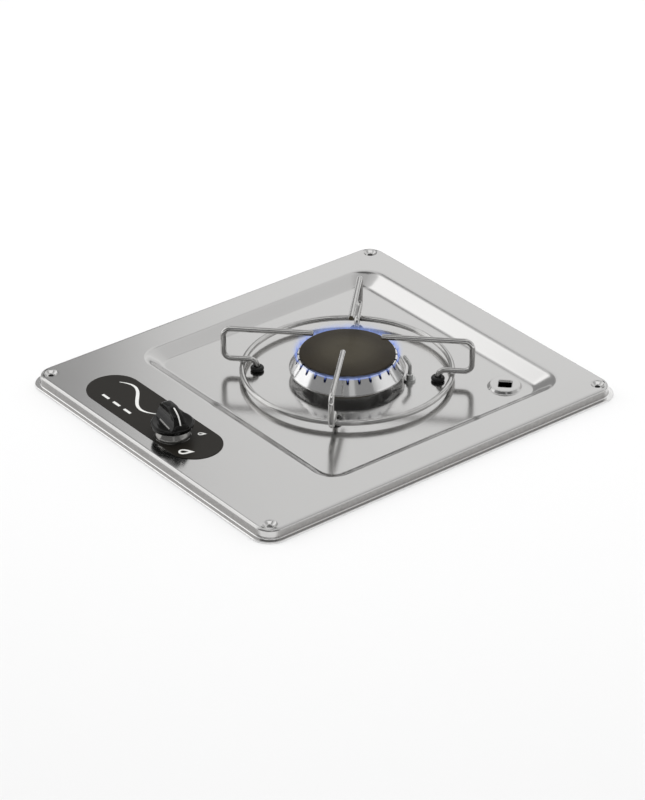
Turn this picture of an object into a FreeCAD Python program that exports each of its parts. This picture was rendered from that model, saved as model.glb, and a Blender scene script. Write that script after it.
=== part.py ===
import FreeCAD, Part
import math
import os
import Sketcher

# Drop-in single-burner gas hob. Millimetres, +Z up, +Y to the back.
# Origin: centre of the flange's underside, the plane that rests on the worktop.

doc = FreeCAD.newDocument("drop_in_gas_hob")
V = FreeCAD.Vector
UP = V(0, 0, 1)
NODES = []

SIZES = [
    ("flange_width", 325.0, "outer lip, left to right"),
    ("flange_depth", 372.0, "outer lip, front to back"),
    ("flange_thick", 1.4, "turned lip"),
    ("flange_corner", 18.0, "outer corner radius of the lip"),
    ("top_width", 316.5, "raised top, left to right"),
    ("top_depth", 363.0, "raised top, front to back"),
    ("top_height", 9.5, "top surface above the worktop"),
    ("top_corner", 14.5, "corner radius of the raised top"),
    ("top_edge", 2.2, "rolled edge of the raised top"),
    ("metal", 1.0, "steel sheet"),
    ("well_left", 128.0, "well edge from centre, left and right"),
    ("well_front", 96.8, "well front edge from centre"),
    ("well_rear", 152.2, "well rear edge from centre"),
    ("well_corner", 20.0, "well corner radius at the top"),
    ("well_slope", 12.0, "run of the well's side and front walls"),
    ("well_rear_slope", 17.0, "run of the well's rear wall"),
    ("floor_corner", 12.0, "well corner radius at the floor"),
    ("floor_height", 3.0, "well floor above the worktop"),
    ("screw_x", 148.0, "fixing screw from centre"),
    ("screw_y", 171.0, "fixing screw from centre"),
    ("screw_hole", 2.25, "fixing screw hole radius"),
    ("dimple_r", 5.6, "countersunk dimple radius"),
    ("dimple_drop", 2.2, "dimple depth"),
    ("boss_x", 94.8, "service boss"),
    ("boss_y", 116.4, "service boss"),
    ("boss_foot", 14.4, "service boss radius at the floor"),
    ("boss_head", 12.2, "service boss radius at its top"),
    ("boss_rise", 2.4, "service boss height above the floor"),
    ("boss_square", 11.3, "side of the square hole"),
    ("seal_width", 6.0, "foam strip width"),
    ("seal_height", 5.5, "foam strip height"),
    ("label_x", -38.0, "label centre"),
    ("label_y", -145.5, "label centre"),
    ("label_length", 157.0, "label length"),
    ("label_width", 46.0, "label width"),
    ("label_thick", 0.4, "label thickness"),
    ("knob_x", -4.8, "knob axis"),
    ("knob_y", -151.0, "knob axis"),
    ("knob_hole", 15.0, "hole under the knob, radius"),
    ("knob_neck", 13.6, "knob neck radius"),
    ("knob_rim", 17.6, "knob rim radius"),
    ("knob_foot", 7.0, "lowest edge of the knob neck"),
    ("knob_disc", 23.0, "top of the knob's disc"),
    ("knob_top", 37.4, "top of the knob's grip"),
    ("knob_point", -11.0, "pointer direction at rest"),
    ("push_travel", 3.0, "knob push travel"),
    ("shaft_r", 4.0, "spindle radius"),
    ("run_gap", 0.05, "running clearance"),
    ("valve_low", -25.0, "valve body underside"),
    ("valve_high", -2.0, "valve body top"),
    ("valve_half", 15.0, "valve body half length"),
    ("port_z", -17.0, "gas ports' height"),
    ("plug_top_r", 6.0, "taper plug, large end"),
    ("plug_low_r", 5.0, "taper plug, small end"),
    ("plug_high", -11.7, "taper plug top"),
    ("plug_low", -22.0, "taper plug underside"),
    ("burner_x", -1.0, "burner axis"),
    ("burner_y", 26.2, "burner axis"),
    ("cup_r", 29.5, "burner cup radius"),
    ("cup_seat", 14.5, "top of the burner cup, crown seat"),
    ("crown_foot_r", 48.5, "crown radius at its lower rim"),
    ("crown_foot_z", 10.0, "crown lower rim height"),
    ("crown_head_r", 41.3, "crown radius at its upper rim"),
    ("crown_head_z", 23.0, "crown upper rim height"),
    ("flame_ports", 28.0, "flame slots round the crown"),
    ("slot_width", 2.2, "flame slot width"),
    ("slot_drop", 3.4, "flame slot depth"),
    ("cap_r", 40.2, "burner cap radius"),
    ("cap_edge", 2.0, "burner cap edge thickness"),
    ("cap_dome", 2.2, "burner cap rise to its middle"),
    ("wire_r", 2.4, "pan support wire radius"),
    ("ring_r", 87.4, "pan ring centre line radius"),
    ("ring_z", 8.9, "pan ring centre line height"),
    ("rest_z", 41.2, "pan rest centre line height"),
    ("rest_in", 28.5, "inner end of each pan rest"),
    ("rest_out", 103.6, "outer bend of each pan rest"),
    ("leg_z", 13.1, "lower leg centre line height"),
    ("bush_at", 75.6, "bush distance from burner axis"),
    ("bend_r", 6.6, "pan rest bend radius"),
    ("bush_r", 5.45, "rubber bush radius"),
    ("bush_top", 7.2, "rubber bush top"),
    ("probe_at", 52.4, "probe distance from burner axis"),
    ("probe_angle", 42.0, "probe direction"),
    ("probe_r", 1.6, "probe radius"),
    ("probe_top", 20.0, "probe tip height"),
    ("pipe_r", 3.0, "supply pipe radius"),
    ("inlet_r", 4.0, "inlet pipe radius"),
    ("inlet_x", 128.0, "inlet pipe run"),
    ("inlet_end", 168.0, "inlet pipe free end"),
    ("jet_z", -31.0, "jet holder port height"),
]
VALUE = {alias: value for alias, value, _ in SIZES}


def make_sheet():
    sheet = doc.addObject("Spreadsheet::Sheet", "Sizes")
    for row, (alias, value, note) in enumerate(SIZES, start=1):
        sheet.set("A%d" % row, alias)
        sheet.set("B%d" % row, "%g" % value)
        sheet.set("C%d" % row, note)
        sheet.setAlias("B%d" % row, alias)
    doc.recompute()


def linked(text):
    """Expression with every size name pointed at the sheet."""
    words = sorted(VALUE, key=len, reverse=True)
    out, i = "", 0
    while i < len(text):
        if text[i].isalpha():
            j = i
            while j < len(text) and (text[j].isalnum() or text[j] == "_"):
                j += 1
            word = text[i:j]
            out += "Sizes." + word if word in words else word
            i = j
        else:
            out += text[i]
            i += 1
    return out


def number(text):
    """Value of an expression of sizes, + - * / and brackets."""
    return Calculator(text).total()


class Calculator:
    """Small recursive reader for sums of sizes."""

    def __init__(self, text):
        self.text = text.replace(" ", "")
        self.at = 0

    def total(self):
        value = self.product()
        while self.at < len(self.text) and self.text[self.at] in "+-":
            sign = self.text[self.at]
            self.at += 1
            step = self.product()
            value = value + step if sign == "+" else value - step
        return value

    def product(self):
        value = self.factor()
        while self.at < len(self.text) and self.text[self.at] in "*/":
            sign = self.text[self.at]
            self.at += 1
            step = self.factor()
            value = value * step if sign == "*" else value / step
        return value

    def factor(self):
        if self.text[self.at] == "-":
            self.at += 1
            return -self.factor()
        if self.text[self.at] == "(":
            self.at += 1
            value = self.total()
            self.at += 1
            return value
        start = self.at
        while self.at < len(self.text) and (self.text[self.at].isalnum() or self.text[self.at] in "_."):
            self.at += 1
        word = self.text[start:self.at]
        if self.at < len(self.text) and self.text[self.at] == "(":
            self.at += 1
            inner = self.total()
            self.at += 1
            return {"cos": math.cos, "sin": math.sin}[word](math.radians(inner))
        return VALUE[word] if word in VALUE else float(word)


def bind(obj, **sizes):
    for key, text in sizes.items():
        obj.setExpression(key.replace("__", "."), linked(text))
    return obj


def place(obj, x="0", y="0", z="0", axis=UP, angle=0.0, turn=None):
    """Position by expressions; the turn is a fixed axis with an angle or an expression."""
    spin = number(turn) if turn else angle
    base = V(number(x), number(y), number(z))
    obj.Placement = FreeCAD.Placement(base, FreeCAD.Rotation(axis, spin))
    for key, text in (("x", x), ("y", y), ("z", z)):
        obj.setExpression("Placement.Base." + key, linked(text))
    if turn:
        obj.setExpression("Placement.Rotation.Angle", linked(turn))
    return obj


def box(name, length, width, height, x, y, z):
    """Block given by its low corner."""
    obj = doc.addObject("Part::Box", name)
    bind(obj, Length=length, Width=width, Height=height)
    return place(obj, x, y, z)


def rod(name, radius, height, x, y, z, axis="Z"):
    """Cylinder from a start point along +X, +Y or +Z."""
    obj = doc.addObject("Part::Cylinder", name)
    bind(obj, Radius=radius, Height=height)
    turns = {"Z": (UP, 0.0), "X": (V(0, 1, 0), 90.0), "Y": (V(1, 0, 0), -90.0)}
    return place(obj, x, y, z, *turns[axis])


def taper(name, low_r, high_r, height, x, y, z):
    obj = doc.addObject("Part::Cone", name)
    bind(obj, Radius1=low_r, Radius2=high_r, Height=height)
    return place(obj, x, y, z)


def hexagon(name, radius, height, x, y, z, axis="Z"):
    obj = doc.addObject("Part::Prism", name)
    obj.Polygon = 6
    bind(obj, Circumradius=radius, Height=height)
    turns = {"Z": (UP, 0.0), "X": (V(0, 1, 0), 90.0), "Y": (V(1, 0, 0), -90.0)}
    return place(obj, x, y, z, *turns[axis])


def fuse(name, parts):
    obj = doc.addObject("Part::MultiFuse", name)
    obj.Shapes = parts
    return obj


def cut(name, base, tools):
    tool = tools[0] if len(tools) == 1 else fuse(name + "_tools", tools)
    obj = doc.addObject("Part::Cut", name)
    obj.Base = base
    obj.Tool = tool
    return obj


def node(obj, label):
    """Marks an object as one physical piece."""
    obj.Label = label
    NODES.append(obj)
    return obj


def origin_plane(body, role):
    return [f for f in body.Origin.OriginFeatures if f.Role == role][0]


def new_sketch(body, name, role):
    sketch = body.newObject("Sketcher::SketchObject", name)
    sketch.AttachmentSupport = (origin_plane(body, role), [""])
    sketch.MapMode = "FlatFace"
    return sketch


def hold_point(sketch, geo, end, x, y):
    """Pins one sketch point by two expressions."""
    for kind, text in (("DistanceX", x), ("DistanceY", y)):
        value = number(text)
        index = sketch.addConstraint(Sketcher.Constraint(kind, -1, 1, geo, end, value))
        sketch.setExpression("Constraints[%d]" % index, linked(text))


def polygon(sketch, points):
    """Closed outline through points given as pairs of expressions."""
    flat = [V(number(x), number(y), 0) for x, y in points]
    count = len(flat)
    for i in range(count):
        sketch.addGeometry(Part.LineSegment(flat[i], flat[(i + 1) % count]), False)
    for i in range(count):
        sketch.addConstraint(Sketcher.Constraint("Coincident", i, 2, (i + 1) % count, 1))
    for i, (x, y) in enumerate(points):
        hold_point(sketch, i, 1, x, y)


def disc(sketch, x, y, radius):
    index = sketch.addGeometry(Part.Circle(V(number(x), number(y), 0), UP, number(radius)), False)
    hold_point(sketch, index, 3, x, y)
    at = sketch.addConstraint(Sketcher.Constraint("Radius", index, number(radius)))
    sketch.setExpression("Constraints[%d]" % at, linked(radius))


def new_body(name):
    return doc.addObject("PartDesign::Body", name)


def turned(name, points, x="0", y="0", z="0"):
    """Body made by turning an outline of (radius, height) pairs about Z."""
    body = new_body(name)
    sketch = new_sketch(body, name + "_outline", "XZ_Plane")
    polygon(sketch, points)
    spin = body.newObject("PartDesign::Revolution", name + "_turned")
    spin.Profile = sketch
    spin.ReferenceAxis = (sketch, ["V_Axis"])
    spin.Angle = 360.0
    sketch.Visibility = False
    place(body, x, y, z)
    return body


def radial_slot(body, name, points, width, count):
    """Cuts one radial slot through the outline and repeats it round Z."""
    sketch = new_sketch(body, name + "_outline", "XZ_Plane")
    polygon(sketch, points)
    pocket = body.newObject("PartDesign::Pocket", name)
    pocket.Profile = sketch
    pocket.Type = 0
    pocket.Midplane = True
    bind(pocket, Length=width)
    doc.recompute()
    ring = body.newObject("PartDesign::PolarPattern", name + "_ring")
    ring.Originals = [pocket]
    ring.Axis = (origin_axis(body, "Z_Axis"), [""])
    ring.Angle = 360.0
    ring.setExpression("Occurrences", linked(count))
    body.Tip = ring
    return ring


def origin_axis(body, role):
    return [f for f in body.Origin.OriginFeatures if f.Role == role][0]


def rounded_rectangle(sketch, left, right, low, high, radius):
    """Rounded rectangle; left and low are positive distances from the origin."""
    x0, x1 = -number(left), number(right)
    y0, y1 = -number(low), number(high)
    r = number(radius)
    ends = [
        (V(x0 + r, y0, 0), V(x1 - r, y0, 0)),
        (V(x1, y0 + r, 0), V(x1, y1 - r, 0)),
        (V(x1 - r, y1, 0), V(x0 + r, y1, 0)),
        (V(x0, y1 - r, 0), V(x0, y0 + r, 0)),
    ]
    centres = [V(x1 - r, y0 + r, 0), V(x1 - r, y1 - r, 0), V(x0 + r, y1 - r, 0), V(x0 + r, y0 + r, 0)]
    starts = [-90, 0, 90, 180]
    for (a, b), centre, start in zip(ends, centres, starts):
        sketch.addGeometry(Part.LineSegment(a, b), False)
        a0, a1 = math.radians(start), math.radians(start + 90)
        sketch.addGeometry(Part.ArcOfCircle(Part.Circle(centre, UP, r), a0, a1), False)
    for i in range(4):
        sketch.addConstraint(Sketcher.Constraint("Tangent", 2 * i, 2, 2 * i + 1, 1))
        sketch.addConstraint(Sketcher.Constraint("Tangent", 2 * i + 1, 2, (2 * i + 2) % 8, 1))
    sketch.addConstraint(Sketcher.Constraint("Horizontal", 0))
    sketch.addConstraint(Sketcher.Constraint("Vertical", 2))
    sketch.addConstraint(Sketcher.Constraint("Horizontal", 4))
    sketch.addConstraint(Sketcher.Constraint("Vertical", 6))
    for i in (3, 5, 7):
        sketch.addConstraint(Sketcher.Constraint("Equal", 1, i))
    for kind, geo, sign, text in (
        ("DistanceY", 0, -1, low), ("DistanceX", 2, 1, right),
        ("DistanceY", 4, 1, high), ("DistanceX", 6, -1, left),
    ):
        value = sign * number(text)
        index = sketch.addConstraint(Sketcher.Constraint(kind, -1, 1, geo, 1, value))
        sketch.setExpression("Constraints[%d]" % index, linked(text if sign > 0 else "-(%s)" % text))
    index = sketch.addConstraint(Sketcher.Constraint("Radius", 1, r))
    sketch.setExpression("Constraints[%d]" % index, linked(radius))


def slab(name, left, right, low, high, radius, height, z):
    """Rounded rectangular block standing on height z."""
    body = new_body(name)
    sketch = new_sketch(body, name + "_outline", "XY_Plane")
    rounded_rectangle(sketch, left, right, low, high, radius)
    pad = body.newObject("PartDesign::Pad", name + "_pad")
    pad.Profile = sketch
    bind(pad, Length=height)
    place(body, "0", "0", z)
    return body


def loose_rectangle(name, left, right, low, high, radius, z):
    sketch = doc.addObject("Sketcher::SketchObject", name)
    rounded_rectangle(sketch, left, right, low, high, radius)
    return place(sketch, "0", "0", z)


def well_solid(name, grow, high_z, low_z):
    """Tapered well between two rounded rectangles, grown outward by one wall."""
    top = loose_rectangle(
        name + "_top", "well_left+" + grow, "well_left+" + grow, "well_front+" + grow,
        "well_rear+" + grow, "well_corner+" + grow, high_z)
    low = loose_rectangle(
        name + "_low", "well_left-well_slope+" + grow, "well_left-well_slope+" + grow,
        "well_front-well_slope+" + grow, "well_rear-well_rear_slope+" + grow,
        "floor_corner+" + grow, low_z)
    loft = doc.addObject("Part::Loft", name)
    loft.Sections = [low, top]
    loft.Solid = True
    loft.Ruled = True
    return loft


def top_edges(shape, height, tolerance=0.01):
    """Numbers of the edges that lie wholly at one height."""
    found = []
    for i, edge in enumerate(shape.Edges, start=1):
        bounds = edge.BoundBox
        if abs(bounds.ZMin - height) < tolerance and abs(bounds.ZMax - height) < tolerance:
            found.append(i)
    return found


def make_hob_top():
    """Pressed steel top: turned lip, raised rim, sunken well, dimples and a square-holed boss."""
    outer = new_body("top_outer")
    sketch = new_sketch(outer, "top_outer_outline", "XY_Plane")
    rounded_rectangle(sketch, "top_width/2", "top_width/2", "top_depth/2", "top_depth/2", "top_corner")
    pad = outer.newObject("PartDesign::Pad", "top_outer_pad")
    pad.Profile = sketch
    bind(pad, Length="top_height")
    doc.recompute()
    rolled = outer.newObject("PartDesign::Fillet", "top_outer_edge")
    rolled.Base = (pad, ["Edge%d" % i for i in top_edges(pad.Shape, VALUE["top_height"])])
    bind(rolled, Radius="top_edge")
    lip = slab("top_lip", "flange_width/2", "flange_width/2", "flange_depth/2", "flange_depth/2",
               "flange_corner", "flange_thick", "0")
    hollow = new_body("top_hollow")
    inside = new_sketch(hollow, "top_hollow_outline", "XY_Plane")
    rounded_rectangle(inside, "top_width/2-metal", "top_width/2-metal", "top_depth/2-metal",
                      "top_depth/2-metal", "top_corner-metal")
    void = hollow.newObject("PartDesign::Pad", "top_hollow_pad")
    void.Profile = inside
    bind(void, Length="top_height-metal+5")
    place(hollow, "0", "0", "-5")
    doc.recompute()
    eased = hollow.newObject("PartDesign::Fillet", "top_hollow_edge")
    eased.Base = (void, ["Edge%d" % i for i in top_edges(void.Shape, VALUE["top_height"] - VALUE["metal"] + 5)])
    bind(eased, Radius="top_edge-metal")
    pan = well_solid("top_well_skin", "metal", "top_height-metal/2", "floor_height-metal")
    skirt = fuse("top_shell_block", [outer, lip])
    shell = cut("top_shell", skirt, [hollow])
    cups = []
    for tag, sx, sy in corners():
        cups.append(taper("top_dimple_skin_" + tag, "screw_hole+metal", "dimple_r+metal", "dimple_drop+metal/2",
                          sx + "screw_x", sy + "screw_y", "top_height-metal-dimple_drop"))
    boss = taper("top_boss_skin", "boss_foot", "boss_head", "boss_rise", "boss_x", "boss_y", "floor_height")
    plus = fuse("top_plus", [shell, pan, boss] + cups)
    well = well_solid("top_well_space", "0", "top_height", "floor_height")
    well_cut = cut("top_welled", plus, [cut("top_well_cutter", well, [boss])])
    tools = []
    for tag, sx, sy in corners():
        x, y = sx + "screw_x", sy + "screw_y"
        tools.append(taper("top_dimple_" + tag, "screw_hole", "dimple_r", "dimple_drop",
                           x, y, "top_height-dimple_drop"))
        tools.append(rod("top_screw_hole_" + tag, "screw_hole", "10", x, y, "0"))
    tools.append(rod("top_knob_hole", "knob_hole", "10", "knob_x", "knob_y", "4"))
    tools.append(rod("top_burner_hole", "cup_r+0.5", "6", "burner_x", "burner_y", "-1"))
    tools.append(taper("top_boss_space", "boss_foot-metal*2", "boss_head-metal", "boss_rise-metal+floor_height",
                       "boss_x", "boss_y", "0"))
    square = box("top_square_hole", "boss_square", "boss_square", "12", "boss_x", "boss_y", "0")
    square.Placement = FreeCAD.Placement(square.Placement.Base, FreeCAD.Rotation(UP, 45.0))
    square.setExpression("Placement.Base.x", linked("boss_x"))
    square.setExpression("Placement.Base.y", linked("boss_y-boss_square*0.70710678"))
    tools.append(square)
    for tag, angle in finger_angles():
        x = "burner_x+bush_at*cos(%s)" % angle
        y = "burner_y+bush_at*sin(%s)" % angle
        tools.append(rod("top_bush_hole_" + tag, "wire_r+1.2", "6", x, y, "-1"))
    tools.append(rod("top_probe_hole", "probe_r+1.4", "6", *probe_xy(), "-1"))
    for i, angle in enumerate(("90", "210", "330")):
        x = "burner_x+33.6*cos(%s)" % angle
        y = "burner_y+33.6*sin(%s)" % angle
        tools.append(rod("top_cup_hole_%d" % i, "2.1", "6", x, y, "-1"))
    node(cut("hob_top_pressing", well_cut, tools), "hob_top")


def corners():
    return (("front_left", "-", "-"), ("front_right", "", "-"), ("rear_left", "-", ""), ("rear_right", "", ""))


def finger_angles():
    """Pan rests stand on the diagonals."""
    return (("right", "45"), ("rear", "135"), ("left", "225"), ("front", "313.8"))


def probe_xy():
    return "burner_x+probe_at*cos(probe_angle)", "burner_y+probe_at*sin(probe_angle)"


def make_rim_seal():
    """Foam strip inside the raised rim, pressed on the worktop."""
    side, end = "top_width/2-metal-0.2", "top_depth/2-metal-0.2"
    outer = slab("seal_outer", side, side, end, end, "top_corner-metal", "seal_height", "0")
    side, end = side + "-seal_width", end + "-seal_width"
    inner = slab("seal_inner", side, side, end, end, "top_corner-metal-seal_width", "seal_height+2", "-1")
    holes = [rod("seal_hole_" + tag, "screw_hole+0.3", "12", sx + "screw_x", sy + "screw_y", "-2")
             for tag, sx, sy in corners()]
    node(cut("rim_seal_strip", outer, [inner] + holes), "rim_seal")


def make_label():
    """Thin black overlay with half-round ends, a hole round the knob."""
    bar = box("label_bar", "label_length-label_width", "label_width", "label_thick",
              "label_x-label_length/2+label_width/2", "label_y-label_width/2", "top_height")
    ends = [rod("label_end_%s" % tag, "label_width/2", "label_thick",
                "label_x%slabel_length/2%slabel_width/2" % (sign, other), "label_y", "top_height")
            for tag, sign, other in (("left", "-", "+"), ("right", "+", "-"))]
    whole = fuse("label_whole", [bar] + ends)
    hole = rod("label_hole", "knob_hole", "4", "knob_x", "knob_y", "top_height-1")
    node(cut("label_overlay", whole, [hole]), "control_label")


def make_knob():
    """Hollow knob: neck, flared rim, dished disc and a raised grip bar."""
    shell = turned("knob_shell", [
        ("shaft_r+run_gap", "knob_foot+2"), ("6.6", "knob_foot+2"), ("6.6", "19"), ("11.6", "19"),
        ("11.6", "knob_foot"), ("knob_neck", "knob_foot"), ("knob_neck", "16"),
        ("knob_rim-0.6", "18.6"), ("knob_rim", "19.6"), ("knob_rim", "21.4"),
        ("knob_rim-1.2", "knob_disc"), ("6", "knob_disc-0.4"), ("0", "knob_disc-0.4"),
        ("0", "21"), ("shaft_r+run_gap", "21"),
    ], "knob_x", "knob_y")
    grip = new_body("knob_grip")
    side = new_sketch(grip, "knob_grip_side", "XZ_Plane")
    polygon(side, [
        ("-16.2", "knob_disc-2"), ("16.4", "knob_disc-2"), ("16.4", "knob_disc+1.2"),
        ("15.2", "knob_disc+6"), ("12.6", "knob_top-4.6"), ("9", "knob_top-2.2"),
        ("4.4", "knob_top-0.6"), ("-1", "knob_top"), ("-7", "knob_top-0.4"),
        ("-11.6", "knob_top-2.4"), ("-14.6", "knob_top-6"), ("-16.2", "knob_disc+3"),
    ])
    pad = grip.newObject("PartDesign::Pad", "knob_grip_pad")
    pad.Profile = side
    pad.Midplane = True
    pad.Length = 22.0
    place(grip, "knob_x", "knob_y", "0", turn="knob_point")
    blade = new_body("knob_blade")
    front = new_sketch(blade, "knob_blade_end", "YZ_Plane")
    polygon(front, [
        ("-8.4", "knob_disc-2"), ("8.4", "knob_disc-2"), ("8.2", "knob_disc+0.2"),
        ("6", "knob_disc+2"), ("4.8", "knob_disc+6"), ("4.3", "knob_top-1.2"), ("3.2", "knob_top+0.4"),
        ("-3.2", "knob_top+0.4"), ("-4.3", "knob_top-1.2"), ("-4.8", "knob_disc+6"),
        ("-6", "knob_disc+2"), ("-8.2", "knob_disc+0.2"),
    ])
    across = blade.newObject("PartDesign::Pad", "knob_blade_pad")
    across.Profile = front
    across.Midplane = True
    across.Length = 40.0
    place(blade, "knob_x", "knob_y", "0", turn="knob_point")
    bar = doc.addObject("Part::MultiCommon", "knob_bar")
    bar.Shapes = [grip, blade, rod("knob_bar_limit", "knob_rim-0.5", "30", "knob_x", "knob_y", "15")]
    whole = fuse("knob_whole", [shell, bar])
    bore = rod("knob_bore", "shaft_r+run_gap", "14", "knob_x", "knob_y", "7")
    slot_body = pointer_bar("knob_slot", 0.55, 1.2)
    node(cut("knob_moulding", whole, [bore, slot_body]), "knob")
    inlay = pointer_bar("pointer_bar", 0.55, 1.2)
    kept = doc.addObject("Part::MultiCommon", "pointer_inlay")
    kept.Shapes = [inlay, whole]
    node(kept, "knob_pointer")


def pointer_bar(name, half, depth):
    """Strip that follows the grip's ridge from its middle to its front foot."""
    body = new_body(name)
    sketch = new_sketch(body, name + "_side", "XZ_Plane")
    inset = "-%g" % depth
    polygon(sketch, [
        ("3", "knob_top-0.2" + inset), ("4.4", "knob_top-0.6" + inset),
        ("9%s*0.7" % inset, "knob_top-2.2%s*0.7" % inset), ("12.6%s" % inset, "knob_top-4.6"),
        ("15.2%s" % inset, "knob_disc+5.6"), ("16.4%s" % inset, "knob_disc+1.6"),
        ("18", "knob_disc+1.6"), ("18", "knob_top+2"), ("3", "knob_top+2"),
    ])
    pad = body.newObject("PartDesign::Pad", name + "_pad")
    pad.Profile = sketch
    pad.Midplane = True
    pad.Length = 2 * half
    place(body, "knob_x", "knob_y", "0", turn="knob_point")
    return body


def make_spindle():
    """Spindle with a flat for the knob, a collar and a square drive tang."""
    stem = rod("stem", "shaft_r", "20.9+2.2", "knob_x", "knob_y", "-2.2")
    collar = rod("stem_collar", "6", "1.4", "knob_x", "knob_y", "-3.6")
    tang = box("stem_tang", "3.2", "3.2", "14.4", "knob_x-1.6", "knob_y-1.6", "-18")
    flat = box("stem_flat", "10", "3", "10", "knob_x-5", "knob_y+2.9", "11")
    node(cut("spindle", fuse("spindle_whole", [stem, collar, tang]), [flat]), "valve_spindle")
    node(box("clip", "3", "0.7", "9", "knob_x-1.5", "knob_y+2.9", "11.5"), "knob_clip")
    seat = rod("seat_disc", "6.9", "1.5", "knob_x", "knob_y", "-5.1")
    hole = rod("seat_hole", "2.6", "4", "knob_x", "knob_y", "-6")
    node(cut("seat_ring", seat, [hole]), "valve_push_ring")


def make_spring():
    """Coil spring between the taper plug and the push ring."""
    body = new_body("spring")
    sketch = new_sketch(body, "spring_wire", "XZ_Plane")
    disc(sketch, "4.6", "plug_high+0.42", "0.4")
    coil = body.newObject("PartDesign::AdditiveHelix", "spring_coil")
    coil.Profile = sketch
    coil.ReferenceAxis = (sketch, ["V_Axis"])
    coil.Mode = "height-turns-angle"
    coil.Height = 5.74
    coil.Turns = 3.0
    place(body, "knob_x", "knob_y")
    node(body, "valve_spring")


def make_plug():
    cone = taper("plug_cone", "plug_low_r", "plug_top_r", "plug_high-plug_low", "knob_x", "knob_y", "plug_low")
    drive = box("plug_drive", "3.4", "3.4", "12", "knob_x-1.7", "knob_y-1.7", "plug_high-9.8")
    port = rod("plug_port", "1.5", "20", "knob_x", "knob_y", "port_z", "Y")
    node(cut("taper_plug", cone, [drive, port]), "valve_plug")


def make_valve_body():
    """Gas tap body with taper bore, spring chamber and three side ports."""
    block = box("valve_block", "valve_half*2", "22", "valve_high-valve_low",
                "knob_x-valve_half", "knob_y-9", "valve_low")
    trim = []
    for tag, x in (("left", "knob_x-valve_half-6"), ("right", "knob_x+valve_half-6")):
        trim.append(box("valve_trim_" + tag, "12", "6", "30", x, "knob_y-14", "valve_low-2"))
    outlet = rod("valve_outlet", "5.6", "6", "knob_x", "knob_y+13", "port_z", "Y")
    inlet = rod("valve_inlet", "6", "6", "knob_x+valve_half", "knob_y", "port_z", "X")
    whole = fuse("valve_whole", [block, outlet, inlet])
    tools = trim + [
        rod("valve_chamber", "7", "valve_high-plug_high-0.1+3", "knob_x", "knob_y", "plug_high+0.1"),
        taper("valve_taper", "plug_low_r+run_gap-0.01", "plug_top_r+run_gap", "plug_high-plug_low+0.15",
              "knob_x", "knob_y", "plug_low-0.05"),
        rod("valve_out_bore", "2", "30", "knob_x", "knob_y", "port_z", "Y"),
        rod("valve_in_bore", "2.5", "40", "knob_x", "knob_y", "port_z", "X"),
        rod("valve_magnet_bore", "4", "11.5", "knob_x-valve_half-2", "knob_y", "port_z", "X"),
        rod("valve_out_seat", "pipe_r+0.1", "12", "knob_x", "knob_y+15", "port_z", "Y"),
        rod("valve_in_seat", "inlet_r+0.1", "12", "knob_x+valve_half+2", "knob_y", "port_z", "X"),
    ]
    for tag, x in (("left", "knob_x-11"), ("right", "knob_x+11")):
        tools.append(rod("valve_tap_" + tag, "1.5", "10", x, "knob_y+4", "valve_high-7"))
    node(cut("valve_casting", whole, tools), "valve_body")


def make_bonnet():
    plate = box("bonnet_plate", "valve_half*2", "19", "2", "knob_x-valve_half", "knob_y-6", "valve_high")
    nose = rod("bonnet_nose", "7.2", "2", "knob_x", "knob_y", "valve_high")
    tools = [rod("bonnet_bore", "shaft_r+run_gap", "8", "knob_x", "knob_y", "valve_high-1")]
    for tag, x in (("left", "knob_x-11"), ("right", "knob_x+11")):
        tools.append(rod("bonnet_hole_" + tag, "2.1", "8", x, "knob_y+4", "valve_high-1"))
    node(cut("bonnet", fuse("bonnet_whole", [plate, nose]), tools), "valve_bonnet")


def make_bracket():
    """Bridge bracket that hangs the gas tap under the pressed top."""
    bridge = box("bracket_bridge", "62", "22", "1.5", "knob_x-31", "knob_y-9", "0")
    legs = []
    for tag, x, foot in (("left", "knob_x-31", "knob_x-40"), ("right", "knob_x+29.5", "knob_x+29.5")):
        legs.append(box("bracket_leg_" + tag, "1.5", "22", "top_height-metal", x, "knob_y-9", "0"))
        legs.append(box("bracket_foot_" + tag, "10.5", "22", "1.5", foot, "knob_y-9", "top_height-metal-1.5"))
    tools = [rod("bracket_bore", "7.4", "4", "knob_x", "knob_y", "-1")]
    for tag, x in (("left", "knob_x-11"), ("right", "knob_x+11")):
        tools.append(rod("bracket_hole_" + tag, "2.1", "4", x, "knob_y+4", "-1"))
    node(cut("bracket", fuse("bracket_whole", [bridge] + legs), tools), "valve_bracket")


def machine_screw(label, x, y, head_z, shank, radius, head_r, head_h, sign=1):
    """Pan-head screw with its head above (sign 1) or below (sign -1) head_z."""
    z_head = head_z if sign > 0 else "%s-%s" % (head_z, head_h)
    z_shank = "%s-%s" % (head_z, shank) if sign > 0 else head_z
    head = rod(label + "_head", head_r, head_h, x, y, z_head)
    stem = rod(label + "_shank", radius, shank, x, y, z_shank)
    slot_z = "%s+%s-0.7" % (head_z, head_h) if sign > 0 else "%s-%s-1" % (head_z, head_h)
    slot = box(label + "_slot", "%s*2" % head_r, "0.8", "1.7", "%s-%s" % (x, head_r), "%s-0.4" % y, slot_z)
    node(cut(label + "_screw", fuse(label + "_whole", [head, stem]), [slot]), label)


def make_valve_screws():
    for tag, x in (("left", "knob_x-11"), ("right", "knob_x+11")):
        machine_screw("valve_screw_" + tag, x, "knob_y+4", "1.5", "8.2", "1.45", "3.2", "1.8")


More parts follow.
